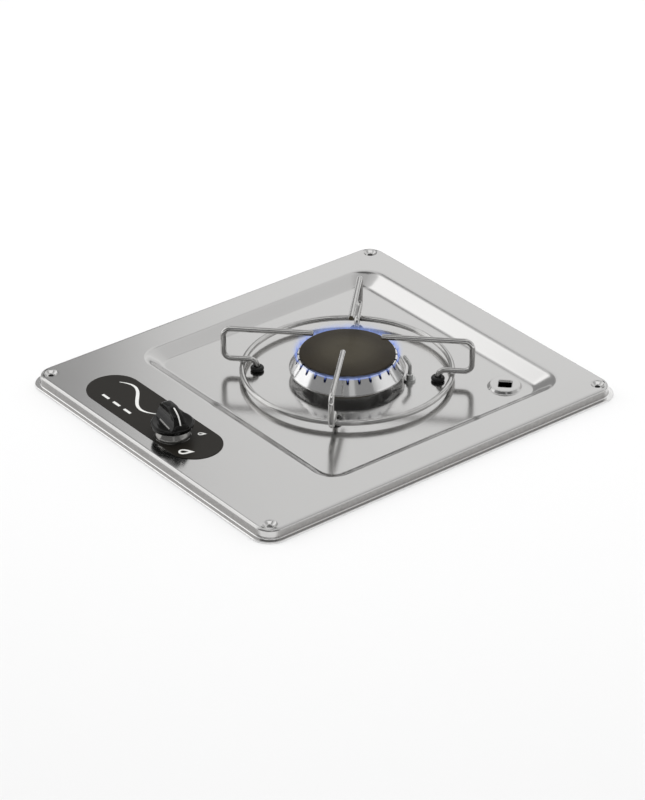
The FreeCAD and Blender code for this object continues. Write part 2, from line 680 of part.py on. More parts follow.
def make_magnet_unit():
    """Flame failure magnet cartridge in the tap's left side, with the probe's union nut."""
    spigot = rod("magnet_spigot", "3.9", "8.7", "knob_x-valve_half", "knob_y", "port_z", "X")
    can = rod("magnet_can", "6.4", "14", "knob_x-valve_half-14", "knob_y", "port_z", "X")
    tail = rod("magnet_tail", "4", "4", "knob_x-valve_half-18", "knob_y", "port_z", "X")
    node(fuse("magnet_whole", [spigot, can, tail]), "magnet_unit")
    nut = hexagon("probe_nut_hex", "5", "7", "knob_x-valve_half-25", "knob_y", "port_z", "X")
    hollow = rod("probe_nut_bore", "1.2", "10", "knob_x-valve_half-26", "knob_y", "port_z", "X")
    node(cut("probe_nut_solid", nut, [hollow]), "thermocouple_nut")


def swept(name, role, path, radius, hollow=None):
    """Body with a round bar or tube swept along straight runs joined by arcs.

    path is a list of ("line", x, y) or ("arc", centre x, centre y, end x, end y, clockwise)
    after a first ("start", x, y); all numbers, in the sketch plane.
    """
    body = new_body(name)
    rail = new_sketch(body, name + "_path", role)
    at = V(path[0][1], path[0][2], 0)
    for step in path[1:]:
        if step[0] == "line":
            to = V(step[1], step[2], 0)
            rail.addGeometry(Part.LineSegment(at, to), False)
        else:
            centre, to = V(step[1], step[2], 0), V(step[3], step[4], 0)
            a0 = math.atan2(at.y - centre.y, at.x - centre.x)
            a1 = math.atan2(to.y - centre.y, to.x - centre.x)
            ring = Part.Circle(centre, UP, (to - centre).Length)
            span = (a1, a0) if step[5] else (a0, a1)
            rail.addGeometry(Part.ArcOfCircle(ring, *span), False)
        at = to
    return body, rail


def close_sweep(name, body, rail, ring_role, x, y, radius, hollow=None, offset=None):
    ring = new_sketch(body, name + "_ring", ring_role)
    if offset:
        ring.AttachmentOffset = FreeCAD.Placement(V(0, 0, offset), FreeCAD.Rotation())
    disc(ring, x, y, radius)
    if hollow:
        disc(ring, x, y, hollow)
    pipe = body.newObject("PartDesign::AdditivePipe", name + "_pipe")
    pipe.Profile = ring
    pipe.Spine = (rail, [])
    pipe.Transition = 0
    body.Tip = pipe
    return body


def make_finger(tag, angle):
    """One pan rest: level run, rounded drop, return leg and foot in its bush."""
    name = "pan_rest_" + tag
    top, leg = VALUE["rest_z"], VALUE["leg_z"]
    out, turn_r, foot = VALUE["rest_out"], VALUE["bend_r"], VALUE["bush_at"]
    path = [
        ("start", VALUE["rest_in"], top),
        ("line", out - turn_r, top),
        ("arc", out - turn_r, top - turn_r, out, top - turn_r, True),
        ("line", out, leg + turn_r),
        ("arc", out - turn_r, leg + turn_r, out - turn_r, leg, True),
        ("line", foot + turn_r, leg),
        ("arc", foot + turn_r, leg - turn_r, foot, leg - turn_r, False),
        ("line", foot, 1.6),
    ]
    body, rail = swept(name + "_bar", "XZ_Plane", path, "wire_r")
    close_sweep(name + "_bar", body, rail, "YZ_Plane", "0", "rest_z", "wire_r", offset=VALUE["rest_in"])
    hold_finger(rail)
    place(body, "burner_x", "burner_y", "0", angle=float(angle))
    node(body, name)
    return body


def hold_finger(rail):
    """Ties the pan rest's path to the sheet."""
    for i in range(6):
        rail.addConstraint(Sketcher.Constraint("Tangent", i, *finger_end(i), i + 1, *finger_start(i + 1)))
    hold_point(rail, 0, 1, "rest_in", "rest_z")
    rail.addConstraint(Sketcher.Constraint("Horizontal", 0))
    rail.addConstraint(Sketcher.Constraint("Vertical", 2))
    rail.addConstraint(Sketcher.Constraint("Horizontal", 4))
    rail.addConstraint(Sketcher.Constraint("Vertical", 6))
    for i in (3, 5):
        rail.addConstraint(Sketcher.Constraint("Equal", 1, i))
    radius = rail.addConstraint(Sketcher.Constraint("Radius", 1, VALUE["bend_r"]))
    rail.setExpression("Constraints[%d]" % radius, linked("bend_r"))
    for kind, geo, end, text in (
        ("DistanceX", 2, 1, "rest_out"), ("DistanceY", 4, 1, "leg_z"),
        ("DistanceX", 6, 1, "bush_at"), ("DistanceY", 6, 2, "1.6"),
    ):
        index = rail.addConstraint(Sketcher.Constraint(kind, -1, 1, geo, end, number(text)))
        rail.setExpression("Constraints[%d]" % index, linked(text))


def finger_end(i):
    """Last point of each path element; clockwise arcs are stored reversed."""
    return (1,) if i in (1, 3) else (2,)


def finger_start(i):
    return (2,) if i in (1, 3) else (1,)


def make_pan_support():
    bars = [make_finger(tag, angle) for tag, angle in finger_angles()]
    ring = doc.addObject("Part::Torus", "pan_ring_bar")
    bind(ring, Radius1="ring_r", Radius2="wire_r")
    place(ring, "burner_x", "burner_y", "ring_z")
    node(cut("pan_ring_set", ring, [fuse("pan_ring_notches", bars)]), "pan_ring")


def make_bush(tag, angle):
    """Rubber bush snapped in the well floor, grooved round its waist."""
    body = turned("bush_" + tag, [
        ("0", "-2"), ("wire_r+2", "-2"), ("wire_r+3", "-1"), ("wire_r+3", "floor_height-metal"),
        ("wire_r+1.2", "floor_height-metal"), ("wire_r+1.2", "floor_height"), ("bush_r-0.5", "floor_height"),
        ("bush_r", "floor_height+0.6"), ("bush_r", "floor_height+1.5"), ("bush_r-0.9", "floor_height+2"),
        ("bush_r-0.1", "floor_height+2.5"), ("bush_r-0.1", "bush_top-0.8"), ("bush_r-1", "bush_top"),
        ("wire_r+0.08", "bush_top"), ("wire_r+0.08", "1.6"), ("0", "1.6"),
    ], "burner_x+bush_at*cos(%s)" % angle, "burner_y+bush_at*sin(%s)" % angle)
    node(body, "bush_" + tag)


def make_burner_cup():
    """Cast cup through the well floor; the crown stands on its wall."""
    cup = turned("cup", [
        ("6", "-22"), ("cup_r", "-22"), ("cup_r", "3.6"), ("38", "3.6"), ("38", "5"), ("28.4", "5.6"),
        ("27", "7"), ("27", "cup_seat"), ("24.5", "cup_seat"), ("24.5", "4"), ("26.5", "2"),
        ("26.5", "-19.5"), ("6", "-19.5"),
    ], "burner_x", "burner_y")
    tools = []
    for i, angle in enumerate(("90", "210", "330")):
        x = "burner_x+33.6*cos(%s)" % angle
        y = "burner_y+33.6*sin(%s)" % angle
        tools.append(rod("cup_screw_hole_%d" % i, "2.1", "6", x, y, "1"))
        tools.append(rod("cup_screw_seat_%d" % i, "3.2", "3", x, y, "5"))
    for i, (length, width) in enumerate((("70", "14"), ("14", "70"))):
        tools.append(box("cup_air_%d" % i, length, width, "9", "burner_x-%s/2" % length,
                         "burner_y-%s/2" % width, "-17"))
    node(cut("cup_casting", cup, tools), "burner_cup")
    gasket = turned("cup_gasket_ring", [
        ("cup_r+0.6", "floor_height"), ("38", "floor_height"), ("38", "3.6"), ("cup_r+0.6", "3.6"),
    ], "burner_x", "burner_y")
    clamp = turned("clamp_plate", [
        ("cup_r+0.6", "0.4"), ("43", "0.4"), ("43", "floor_height-metal"), ("cup_r+0.6", "floor_height-metal"),
    ], "burner_x", "burner_y")
    bores = {"gasket": [], "clamp": []}
    for i, angle in enumerate(("90", "210", "330")):
        x = "burner_x+33.6*cos(%s)" % angle
        y = "burner_y+33.6*sin(%s)" % angle
        bores["gasket"].append(rod("gasket_hole_%d" % i, "2.1", "4", x, y, "1"))
        bores["clamp"].append(rod("clamp_hole_%d" % i, "1.6", "6", x, y, "-2"))
        machine_screw("cup_screw_%d" % (i + 1), x, y, "5", "6.2", "1.5", "3", "1.6")
    node(cut("cup_gasket_solid", gasket, bores["gasket"]), "cup_gasket")
    node(cut("clamp_solid", clamp, bores["clamp"]), "cup_clamp_ring")


def make_crown():
    """Conical crown with flame slots round its upper rim."""
    body = turned("crown", [
        ("11", "4"), ("13", "4"), ("13", "cup_seat"), ("38.6", "cup_seat"),
        ("crown_foot_r-2.6", "crown_foot_z"), ("crown_foot_r", "crown_foot_z"),
        ("crown_foot_r", "crown_foot_z+1.4"), ("crown_head_r", "crown_head_z"),
        ("crown_head_r-2.8", "crown_head_z"), ("crown_head_r-2.8", "cup_seat+2"), ("11", "cup_seat+2"),
    ], "burner_x", "burner_y")
    doc.recompute()
    radial_slot(body, "crown_slot", [
        ("crown_head_r-5", "crown_head_z-slot_drop"), ("crown_foot_r", "crown_head_z-slot_drop"),
        ("crown_foot_r", "crown_head_z+1"), ("crown_head_r-5", "crown_head_z+1"),
    ], "slot_width", "flame_ports")
    node(body, "burner_crown")


def make_cap():
    """Enamelled cap, slightly domed, with a locating skirt inside the crown."""
    node(turned("cap", [
        ("0", "crown_head_z"), ("crown_head_r-5.1", "crown_head_z"),
        ("crown_head_r-5.1", "crown_head_z-2.6"), ("crown_head_r-3.2", "crown_head_z-2.6"),
        ("crown_head_r-3.2", "crown_head_z"), ("cap_r-0.5", "crown_head_z"),
        ("cap_r", "crown_head_z+0.5"), ("cap_r", "crown_head_z+cap_edge-0.7"),
        ("cap_r-0.7", "crown_head_z+cap_edge"), ("cap_r*0.8", "crown_head_z+cap_edge+cap_dome*0.42"),
        ("cap_r*0.55", "crown_head_z+cap_edge+cap_dome*0.76"),
        ("cap_r*0.28", "crown_head_z+cap_edge+cap_dome*0.95"), ("0", "crown_head_z+cap_edge+cap_dome"),
    ], "burner_x", "burner_y"), "burner_cap")


def make_jet():
    """Jet and its holder under the cup."""
    block = box("holder_block", "24", "20", "14", "burner_x-12", "burner_y-10", "jet_z-7")
    neck = rod("holder_neck", "8", "2", "burner_x", "burner_y", "-24")
    spigot = rod("holder_spigot", "5.9", "3", "burner_x", "burner_y", "-22")
    port = rod("holder_port", "5.6", "6", "knob_x", "burner_y-16", "jet_z", "Y")
    whole = fuse("holder_whole", [block, neck, spigot, port])
    tools = [
        rod("holder_well", "2", "-19-jet_z+1", "burner_x", "burner_y", "jet_z"),
        rod("holder_bore", "2", "18", "knob_x", "burner_y-17", "jet_z", "Y"),
        rod("holder_seat", "pipe_r+0.1", "5.5", "knob_x", "burner_y-17.5", "jet_z", "Y"),
        box("holder_link", "8", "4", "4", "burner_x-5.8", "burner_y-3", "jet_z-2"),
        rod("holder_thread", "2.9", "6", "burner_x", "burner_y", "-23"),
    ]
    node(cut("holder_solid", whole, tools), "jet_holder")
    shank = rod("jet_shank", "2.8", "3.6", "burner_x", "burner_y", "-22.6")
    flats = hexagon("jet_flats", "4.6", "4", "burner_x", "burner_y", "-19")
    nose = taper("jet_nose", "3.6", "2.4", "3", "burner_x", "burner_y", "-15")
    bore = rod("jet_bore", "0.6", "14", "burner_x", "burner_y", "-24")
    node(cut("jet_solid", fuse("jet_whole", [shank, flats, nose]), [bore]), "jet")


def union_nut(label, radius, bore, height, x, y, z, axis):
    nut = hexagon(label + "_hex", radius, height, x, y, z, axis)
    hole = rod(label + "_bore", bore, "%s+4" % height, x, y, z, axis)
    node(cut(label + "_solid", nut, [hole]), label)


def make_pipes():
    """Pipes from the tap to the jet and from the tap to the rear, with union nuts."""
    y0, y1 = number("knob_y+15.2"), number("burner_y-12.2")
    z0, z1 = VALUE["port_z"], VALUE["jet_z"]
    bend = 12.0
    half = (z0 - z1) / 2
    run = math.sqrt(bend * bend - (bend - half) ** 2)
    mid = (y0 + y1) / 2
    path = [
        ("start", y0, z0),
        ("line", mid - run, z0),
        ("arc", mid - run, z0 - bend, mid, z0 - half, True),
        ("arc", mid + run, z1 + bend, mid + run, z1, False),
        ("line", y1, z1),
    ]
    body, rail = swept("supply_bar", "YZ_Plane", path, "pipe_r")
    close_sweep("supply_bar", body, rail, "XZ_Plane", "0", "port_z", "pipe_r", "pipe_r-1", offset=-y0)
    place(body, "knob_x")
    node(body, "supply_pipe")
    x0, x1 = number("knob_x+valve_half+2.2"), VALUE["inlet_x"]
    y0, turn_r = VALUE["knob_y"], 20.0
    path = [
        ("start", x0, y0),
        ("line", x1 - turn_r, y0),
        ("arc", x1 - turn_r, y0 + turn_r, x1, y0 + turn_r, False),
        ("line", x1, VALUE["inlet_end"]),
    ]
    body, rail = swept("inlet_bar", "XY_Plane", path, "inlet_r")
    close_sweep("inlet_bar", body, rail, "YZ_Plane", "knob_y", "0", "inlet_r", "inlet_r-1", offset=x0)
    place(body, "0", "0", "port_z")
    node(body, "inlet_pipe")
    ring_nut("supply_nut_valve", "knob_x", "knob_y+13", "Y")
    ring_nut("supply_nut_jet", "knob_x", "burner_y-22", "Y", flip=True)
    inlet_nut()


def ring_nut(label, x, y, axis, flip=False):
    """Union nut over a port nose; the small end closes on the pipe."""
    z = "jet_z" if flip else "port_z"
    hexes = hexagon(label + "_hex", "8.4", "12", x, y, z, axis)
    wide_y = "%s+6" % y if flip else "%s-1" % y
    wide = rod(label + "_wide", "5.7", "7" if not flip else "8", x, wide_y, z, axis)
    small = rod(label + "_small", "pipe_r+0.1", "16", x, "%s-2" % y, z, axis)
    node(cut(label + "_solid", hexes, [wide, small]), label)


def inlet_nut():
    hexes = hexagon("inlet_nut_hex", "8.6", "12", "knob_x+valve_half", "knob_y", "port_z", "X")
    wide = rod("inlet_nut_wide", "6.1", "7", "knob_x+valve_half-1", "knob_y", "port_z", "X")
    small = rod("inlet_nut_small", "inlet_r+0.1", "16", "knob_x+valve_half", "knob_y", "port_z", "X")
    node(cut("inlet_nut_solid", hexes, [wide, small]), "inlet_nut")


def make_thermocouple():
    """Probe beside the crown, its holder nut and the lead to the magnet unit."""
    x, y = probe_xy()
    tip = rod("probe_tip", "probe_r", "probe_top-9", x, y, "9")
    foot = rod("probe_foot", "probe_r+1.2", "4", x, y, "5")
    stem = rod("probe_stem", "probe_r", "5+19", x, y, "-19")
    node(fuse("probe_whole", [tip, foot, stem]), "thermocouple_probe")
    flange = rod("probe_flange", "5", "2", x, y, "floor_height")
    sleeve = rod("probe_sleeve", "probe_r+1.3", "floor_height+3", x, y, "-3")
    bore = rod("probe_bore", "probe_r+0.1", "16", x, y, "-6")
    node(cut("probe_ferrule", fuse("probe_ferrule_whole", [flange, sleeve]), [bore]), "probe_holder")
    x0 = number("knob_x-valve_half-25.2")
    y0, left, back, right = VALUE["knob_y"], -62.0, 92.0, number(x)
    low = number(y)
    path = [
        ("start", x0 + 6.6, y0),
        ("line", left + 8, y0),
        ("arc", left + 8, y0 + 8, left, y0 + 8, True),
        ("line", left, back - 8),
        ("arc", left + 8, back - 8, left + 8, back, True),
        ("line", right - 8, back),
        ("arc", right - 8, back - 8, right, back - 8, True),
        ("line", right, low + 1.8),
    ]
    body, rail = swept("lead_bar", "XY_Plane", path, "1")
    close_sweep("lead_bar", body, rail, "YZ_Plane", "knob_y", "0", "1", offset=x0 + 6.6)
    place(body, "0", "0", "port_z")
    node(body, "thermocouple_lead")


def check_document():
    doc.recompute()
    bad = []
    for obj in doc.Objects:
        states = [s for s in obj.State if s in ("Invalid", "Error")]
        if states:
            bad.append("%s %s" % (obj.Name, states))
    for obj in NODES:
        shape = obj.Shape
        if shape.isNull() or not shape.isValid() or not shape.Solids:
            bad.append("%s shape" % obj.Label)
        print("%-22s solids %d volume %.1f" % (obj.Label, len(shape.Solids), shape.Volume))
    if bad:
        raise RuntimeError("; ".join(bad))


def write_nodes():
    os.makedirs("parts", exist_ok=True)
    for obj in NODES:
        obj.Shape.exportStep("parts/%s.step" % obj.Label)


make_sheet()
make_hob_top()
make_rim_seal()
make_label()
make_knob()
make_spindle()
make_spring()
make_plug()
make_valve_body()
make_bonnet()
make_bracket()
make_valve_screws()
make_magnet_unit()
make_pan_support()
for bush_tag, bush_angle in finger_angles():
    make_bush(bush_tag, bush_angle)
make_burner_cup()
make_crown()
make_cap()
make_jet()
make_pipes()
make_thermocouple()
check_document()
write_nodes()
print("nodes", len(NODES))
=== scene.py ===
"""Drop-in gas hob with one burner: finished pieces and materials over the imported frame."""
import math

import bmesh
import bpy
import numpy as np
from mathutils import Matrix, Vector, geometry


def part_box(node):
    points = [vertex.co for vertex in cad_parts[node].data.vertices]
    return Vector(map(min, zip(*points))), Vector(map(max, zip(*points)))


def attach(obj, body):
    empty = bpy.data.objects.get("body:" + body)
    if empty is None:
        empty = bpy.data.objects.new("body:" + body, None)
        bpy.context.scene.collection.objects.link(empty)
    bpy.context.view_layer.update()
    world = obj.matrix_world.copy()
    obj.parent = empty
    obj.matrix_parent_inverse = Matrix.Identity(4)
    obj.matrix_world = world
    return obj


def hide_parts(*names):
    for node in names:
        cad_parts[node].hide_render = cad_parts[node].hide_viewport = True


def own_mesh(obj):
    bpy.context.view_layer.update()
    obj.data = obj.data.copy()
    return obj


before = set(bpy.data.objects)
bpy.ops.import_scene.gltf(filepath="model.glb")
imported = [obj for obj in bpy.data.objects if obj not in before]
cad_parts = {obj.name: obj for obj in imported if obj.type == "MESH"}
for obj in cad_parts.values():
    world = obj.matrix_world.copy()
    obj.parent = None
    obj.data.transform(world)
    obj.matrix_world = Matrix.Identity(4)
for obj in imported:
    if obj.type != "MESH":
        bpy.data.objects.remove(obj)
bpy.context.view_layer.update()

MM = 0.001


# ---------------------------------------------------------------- measures

def span(node):
    """Lowest and highest corner of a CAD node, in millimetres."""
    low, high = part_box(node)
    return np.array(low) / MM, np.array(high) / MM


def centre(node):
    """Middle of a CAD node's box."""
    low, high = span(node)
    return (low + high) / 2


PLATE_HIGH = span("hob_top")[1]
TOP_Z = PLATE_HIGH[2]
BURNER = centre("burner_crown")
KNOB = centre("valve_spindle")
BOSS = np.array([94.8, 116.4])
TOP_INSET = np.array([4.25, 4.5])
TOP_CORNER = 14.5
LIP_CORNER = 18.0
LIP_THICK = 1.4
SHEET = 1.0
EDGE_ROLL = 2.2
WELL_X = 128.0
WELL_FRONT = -96.8
WELL_REAR = 152.2
WELL_CORNER = 20.0
WALL_RUN = 12.0
NEAR_RUN = 10.2
REAR_RUN = 17.0
FLOOR_CORNER = 12.0
FLOOR_Z = 3.0
SCREWS = [(x, y) for x in (-148.0, 148.0) for y in (-171.0, 171.0)]
DIMPLE_R = 7.4
KNOB_HOLE = 15.0
CUP_HOLE = 30.0
WALL_START = -0.22
WALL_END = 1.2
WALL_EASE = 0.27
WALL_LEAD = 0.02
BOSS_FOOT = 14.95
BOSS_RISE = 2.4
POINTER_TURN = math.radians(-11.0)
WIRE_R = 2.4
RING_R = 87.4
RING_Z = 8.9
REST_IN = 28.5
REST_OUT = 103.6
REST_Z = 41.2
LEG_Z = 13.1
BUSH_AT = 75.6
BEND_R = 6.6
RESTS = {"right": 45.0, "rear": 135.0, "left": 225.0, "front": 313.8}
PORTS = 28
PROBE_R = 1.6
PROBE_SLOT = "zinc_steel"
SLOT_Z = 19.6
CROWN_HEAD_R = 41.3
CROWN_HEAD_Z = 23.0
CROWN_FOOT_R = 48.5
CROWN_FOOT_Z = 11.4
PORT_HALF = 1.53
PORT_STEP = 0.07
GRIP_FOOT_Z = 21.8
GRIP_LIMIT_R = 17.1
PRINT_THICK = 0.03


# ---------------------------------------------------------------- shapes

def unit(vectors):
    """Vectors divided by their own lengths."""
    return vectors / np.linalg.norm(vectors, axis=-1, keepdims=True)


def rounded(corners, radii, steps=6):
    """Line through the corners, with every inner corner traded for an arc of its own radius.

    The arc starts radius * tan(turn / 2) before the corner and turns about a centre square to the line.
    """
    corners = np.asarray(corners, float)
    made = [corners[:1]]
    for before, corner, after, radius in zip(corners, corners[1:], corners[2:], radii):
        go_in = unit(corner - before)
        go_out = unit(after - corner)
        turn = math.acos(float(np.clip(go_in @ go_out, -1, 1)))
        if turn < 1e-3 or radius == 0:
            made.append(corner[None])
            continue
        square = unit(go_out - (go_out @ go_in) * go_in)
        start = corner - go_in * radius * math.tan(turn / 2)
        a = np.linspace(0, turn, steps + 1)[:, None]
        made.append(start + radius * (go_in * np.sin(a) + square * (1 - np.cos(a))))
    made.append(corners[-1:])
    return np.concatenate(made)


def grid_quads(rows, columns, closed=True):
    """Quads of a grid numbered row by row; closed joins its last column to its first."""
    row = np.arange(rows - 1)[:, None]
    column = np.arange(columns if closed else columns - 1)[None, :]
    after = (column + 1) % columns
    low = row * columns
    quads = np.stack([low + column, low + after, low + columns + after, low + columns + column], axis=-1)
    return quads.reshape(-1, 4)


def skin(rings, closed=True):
    """Surface through rings that hold the same number of points each."""
    rings = np.asarray(rings, float)
    return rings.reshape(-1, 3), grid_quads(rings.shape[0], rings.shape[1], closed)


def with_ends(rings):
    """The same rings, drawn together to their middle at both ends, so that the run is closed."""
    rings = np.asarray(rings, float)
    first = rings[:1].mean(axis=1, keepdims=True) + 0 * rings[:1]
    last = rings[-1:].mean(axis=1, keepdims=True) + 0 * rings[-1:]
    return np.concatenate([first, rings, last])


def lathe(profile, at, count=96):
    """Turned surface: a profile point (r, z) becomes the circle at + (r cos a, r sin a) at height z."""
    a = np.linspace(0, 2 * np.pi, count, endpoint=False)
    r = profile[:, 0:1]
    z = profile[:, 1:2]
    return skin(np.stack([at[0] + r * np.cos(a), at[1] + r * np.sin(a), z + 0 * a], axis=-1))


def outline(left, right, low, high, radius, z, steps=14):
    """Ring of a rounded rectangle: four quarter arcs about the inset corners and points along the sides."""
    quarter = np.linspace(0, np.pi / 2, steps + 1)
    share = np.array([0.01, 0.04, 0.12, 0.3, 0.5, 0.7, 0.88, 0.96, 0.99])[:, None]
    middles = [(right - radius, high - radius), (left + radius, high - radius),
               (left + radius, low + radius), (right - radius, low + radius)]
    arcs = []
    for turn, (x, y) in enumerate(middles):
        a = quarter + turn * np.pi / 2
        arcs.append(np.stack([x + radius * np.cos(a), y + radius * np.sin(a)], axis=-1))
    parts = []
    for arc, after in zip(arcs, arcs[1:] + arcs[:1]):
        parts.append(arc)
        parts.append(arc[-1] + share * (after[0] - arc[-1]))
    ring = np.concatenate(parts)
    return np.column_stack([ring, np.full(len(ring), z)])


def circle(at, radius, z, count=96):
    """Ring of points at + radius * (cos a, sin a), level at height z."""
    a = np.linspace(0, 2 * np.pi, count, endpoint=False)
    return np.stack([at[0] + radius * np.cos(a), at[1] + radius * np.sin(a), np.full(count, z)], axis=-1)


def soft_square(at, half, turn, z, count=96, power=9.0):
    """Ring of a square with rounded corners: distance half / (|cos|^p + |sin|^p)^(1/p) from its middle."""
    a = np.linspace(0, 2 * np.pi, count, endpoint=False)
    b = a - turn
    r = half / (np.abs(np.cos(b)) ** power + np.abs(np.sin(b)) ** power) ** (1 / power)
    return np.stack([at[0] + r * np.cos(a), at[1] + r * np.sin(a), np.full(count, z)], axis=-1)


def inside(points, loop):
    """Which points lie inside a convex loop that runs counterclockwise: left of every one of its sides."""
    start = loop[None, :, :2]
    side = np.roll(loop, -1, axis=0)[None, :, :2] - start
    to_point = points[:, None, :2] - start
    return np.all(side[..., 0] * to_point[..., 1] - side[..., 1] * to_point[..., 0] >= 0, axis=1)


def level_sheet(rim, holes, z):
    """Level sheet inside a convex rim and outside convex holes, made of triangles between their points."""
    loops = [rim] + holes
    sizes = [len(loop) for loop in loops]
    flat = np.concatenate(loops)[:, :2]
    starts = np.cumsum([0] + sizes[:-1])
    sides = [(int(s + i), int(s + (i + 1) % n)) for s, n in zip(starts, sizes) for i in range(n)]
    corners = [Vector(point) for point in flat.tolist()]
    points, _, triangles, _, _, _ = geometry.delaunay_2d_cdt(corners, sides, [], 0, 1e-7)
    points = np.array([tuple(p) for p in points])
    triangles = np.array(triangles)
    middle = points[triangles].mean(axis=1)
    keep = inside(middle, rim)
    for hole in holes:
        keep &= ~inside(middle, hole)
    return np.column_stack([points, np.full(len(points), z)]), triangles[keep]


def tube(path, radius, sides=20, chamfer=0.35, reference=(0.31, 0.37, 0.87)):
    """Round bar: circles stand square to the path, and both ends are cut flat with a small chamfer."""
    path = np.asarray(path, float)
    along = unit(np.gradient(path, axis=0))
    widths = np.full(len(path), float(radius))
    path = np.concatenate([path[:1], path[:1], path[:1] + along[:1] * chamfer, path[1:-1],
                           path[-1:] - along[-1:] * chamfer, path[-1:], path[-1:]])
    along = np.concatenate([along[:1], along[:1], along, along[-1:], along[-1:]])
    widths = np.concatenate([[0, radius - chamfer], widths, [radius - chamfer, 0]])
    side = unit(np.cross(along, reference))
    up = np.cross(side, along)
    a = np.linspace(0, 2 * np.pi, sides, endpoint=False)[None, :, None]
    rings = path[:, None] + widths[:, None, None] * (np.cos(a) * side[:, None] + np.sin(a) * up[:, None])
    return skin(rings)


def hoop(at, ring_r, z, radius, count=192, sides=24):
    """Ring of round wire: a circle of the wire's radius carried round a circle."""
    a = np.linspace(0, 2 * np.pi, count, endpoint=False)[:, None]
    b = np.linspace(0, 2 * np.pi, sides, endpoint=False)[None, :]
    r = ring_r + radius * np.cos(b)
    rings = np.stack([at[0] + r * np.cos(a), at[1] + r * np.sin(a), z + radius * np.sin(b) + 0 * a], axis=-1)
    rings = np.concatenate([rings, rings[:1]])
    return skin(rings)


def turned_about(points, at, angle):
    """Points turned about the upright line through at, then moved there."""
    c, s = math.cos(angle), math.sin(angle)
    x, y, z = points[..., 0], points[..., 1], points[..., 2]
    return np.stack([at[0] + c * x - s * y, at[1] + s * x + c * y, z], axis=-1)


def gather(parts):
    """Several surfaces as one list of points and faces."""
    points, faces, start = [], [], 0
    for part_points, part_faces in parts:
        points.append(part_points)
        faces += (part_faces + start).tolist()
        start += len(part_points)
    return np.concatenate(points), faces


# ---------------------------------------------------------------- pieces

def add_piece(name, parts, body, finish, node=(), sharp=35.0, sheet=False):
    """Puts surfaces into one welded mesh, faces outwards, and hangs it on its body."""
    points, faces = gather(parts)
    mesh = bpy.data.meshes.new(name)
    mesh.from_pydata((points * MM).tolist(), [], faces)
    work = bmesh.new()
    work.from_mesh(mesh)
    bmesh.ops.remove_doubles(work, verts=work.verts, dist=2e-6)
    bmesh.ops.recalc_face_normals(work, faces=work.faces)
    if sheet and sum(face.normal.z * face.calc_area() for face in work.faces) < 0:
        bmesh.ops.reverse_faces(work, faces=work.faces)
    work.to_mesh(mesh)
    work.free()
    mesh.shade_smooth()
    mesh.set_sharp_from_angle(angle=math.radians(sharp))
    mesh.materials.append(finish)
    piece = bpy.data.objects.new(name, mesh)
    bpy.context.scene.collection.objects.link(piece)
    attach(piece, body)
    for one in [node] if isinstance(node, str) else node:
        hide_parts(one)
    return piece


def thicken(piece, thickness):
    """Gives a sheet its metal, on the side away from its outer face, and keeps the cut edges crisp."""
    wall = piece.modifiers.new("sheet metal", "SOLIDIFY")
    wall.thickness = thickness * MM
    wall.offset = -1.0
    wall.use_even_offset = True
    graph = bpy.context.evaluated_depsgraph_get()
    solid = bpy.data.meshes.new_from_object(piece.evaluated_get(graph))
    piece.modifiers.clear()
    piece.data = solid
    solid.set_sharp_from_angle(angle=math.radians(50))


def plate_ring(grow, z):
    """Ring round the raised top, grown outwards by a share of the way to the lip's edge."""
    half = PLATE_HIGH[:2] - TOP_INSET * (1 - grow)
    radius = TOP_CORNER + (LIP_CORNER - TOP_CORNER) * grow
    return outline(-half[0], half[0], -half[1], half[1], radius, z)


def plate_skirt():
    """Turned lip, upright skirt and rolled upper edge, from the lip's edge to the level top."""
    inset = TOP_INSET[0]
    profile = rounded(
        [(inset, 0.0), (inset, LIP_THICK), (0.25, LIP_THICK), (0.0, TOP_Z), (-EDGE_ROLL - 0.8, TOP_Z)],
        [0.65, 1.1, EDGE_ROLL], steps=7)
    return skin([plate_ring(offset / inset, z) for offset, z in profile])


def well_ring(share, z):
    """Ring between the well's rim (share 0) and its floor (share 1)."""
    rim = np.array([-WELL_X, WELL_X, WELL_FRONT, WELL_REAR, WELL_CORNER])
    foot = np.array([-WELL_X + WALL_RUN, WELL_X - NEAR_RUN, WELL_FRONT + NEAR_RUN, WELL_REAR - REAR_RUN,
                     FLOOR_CORNER])
    left, right, low, high, radius = rim + (foot - rim) * share
    return outline(left, right, low, high, radius, z)


def well_wall():
    """Sloping well wall: its height is the running sum of a slope that grows, holds and fades.

    A level ring leads in above and out below, so that the flats beside it shade evenly.
    """
    share = np.linspace(WALL_START, WALL_END, 27)
    t = (share - WALL_START) / (WALL_END - WALL_START)
    slope = np.minimum(np.minimum(t / WALL_EASE, (1 - t) / WALL_EASE), 1)
    drop = np.concatenate([[0], np.cumsum((slope[1:] + slope[:-1]) / 2)])
    z = TOP_Z - (TOP_Z - FLOOR_Z) * drop / drop[-1]
    lead = [well_ring(share[0] - WALL_LEAD, TOP_Z)]
    tail = [well_ring(share[-1] + WALL_LEAD, FLOOR_Z)]
    return lead + [well_ring(s, h) for s, h in zip(share, z)] + tail


def screw_dimple(at):
    """Countersunk dimple with its screw hole."""
    profile = rounded(
        [(DIMPLE_R, TOP_Z), (5.7, TOP_Z), (3.3, TOP_Z - 2.1), (2.25, TOP_Z - 2.2), (2.25, TOP_Z - 2.6)],
        [1.6, 0.8, 0.3], steps=6)
    return lathe(profile, at, 64)


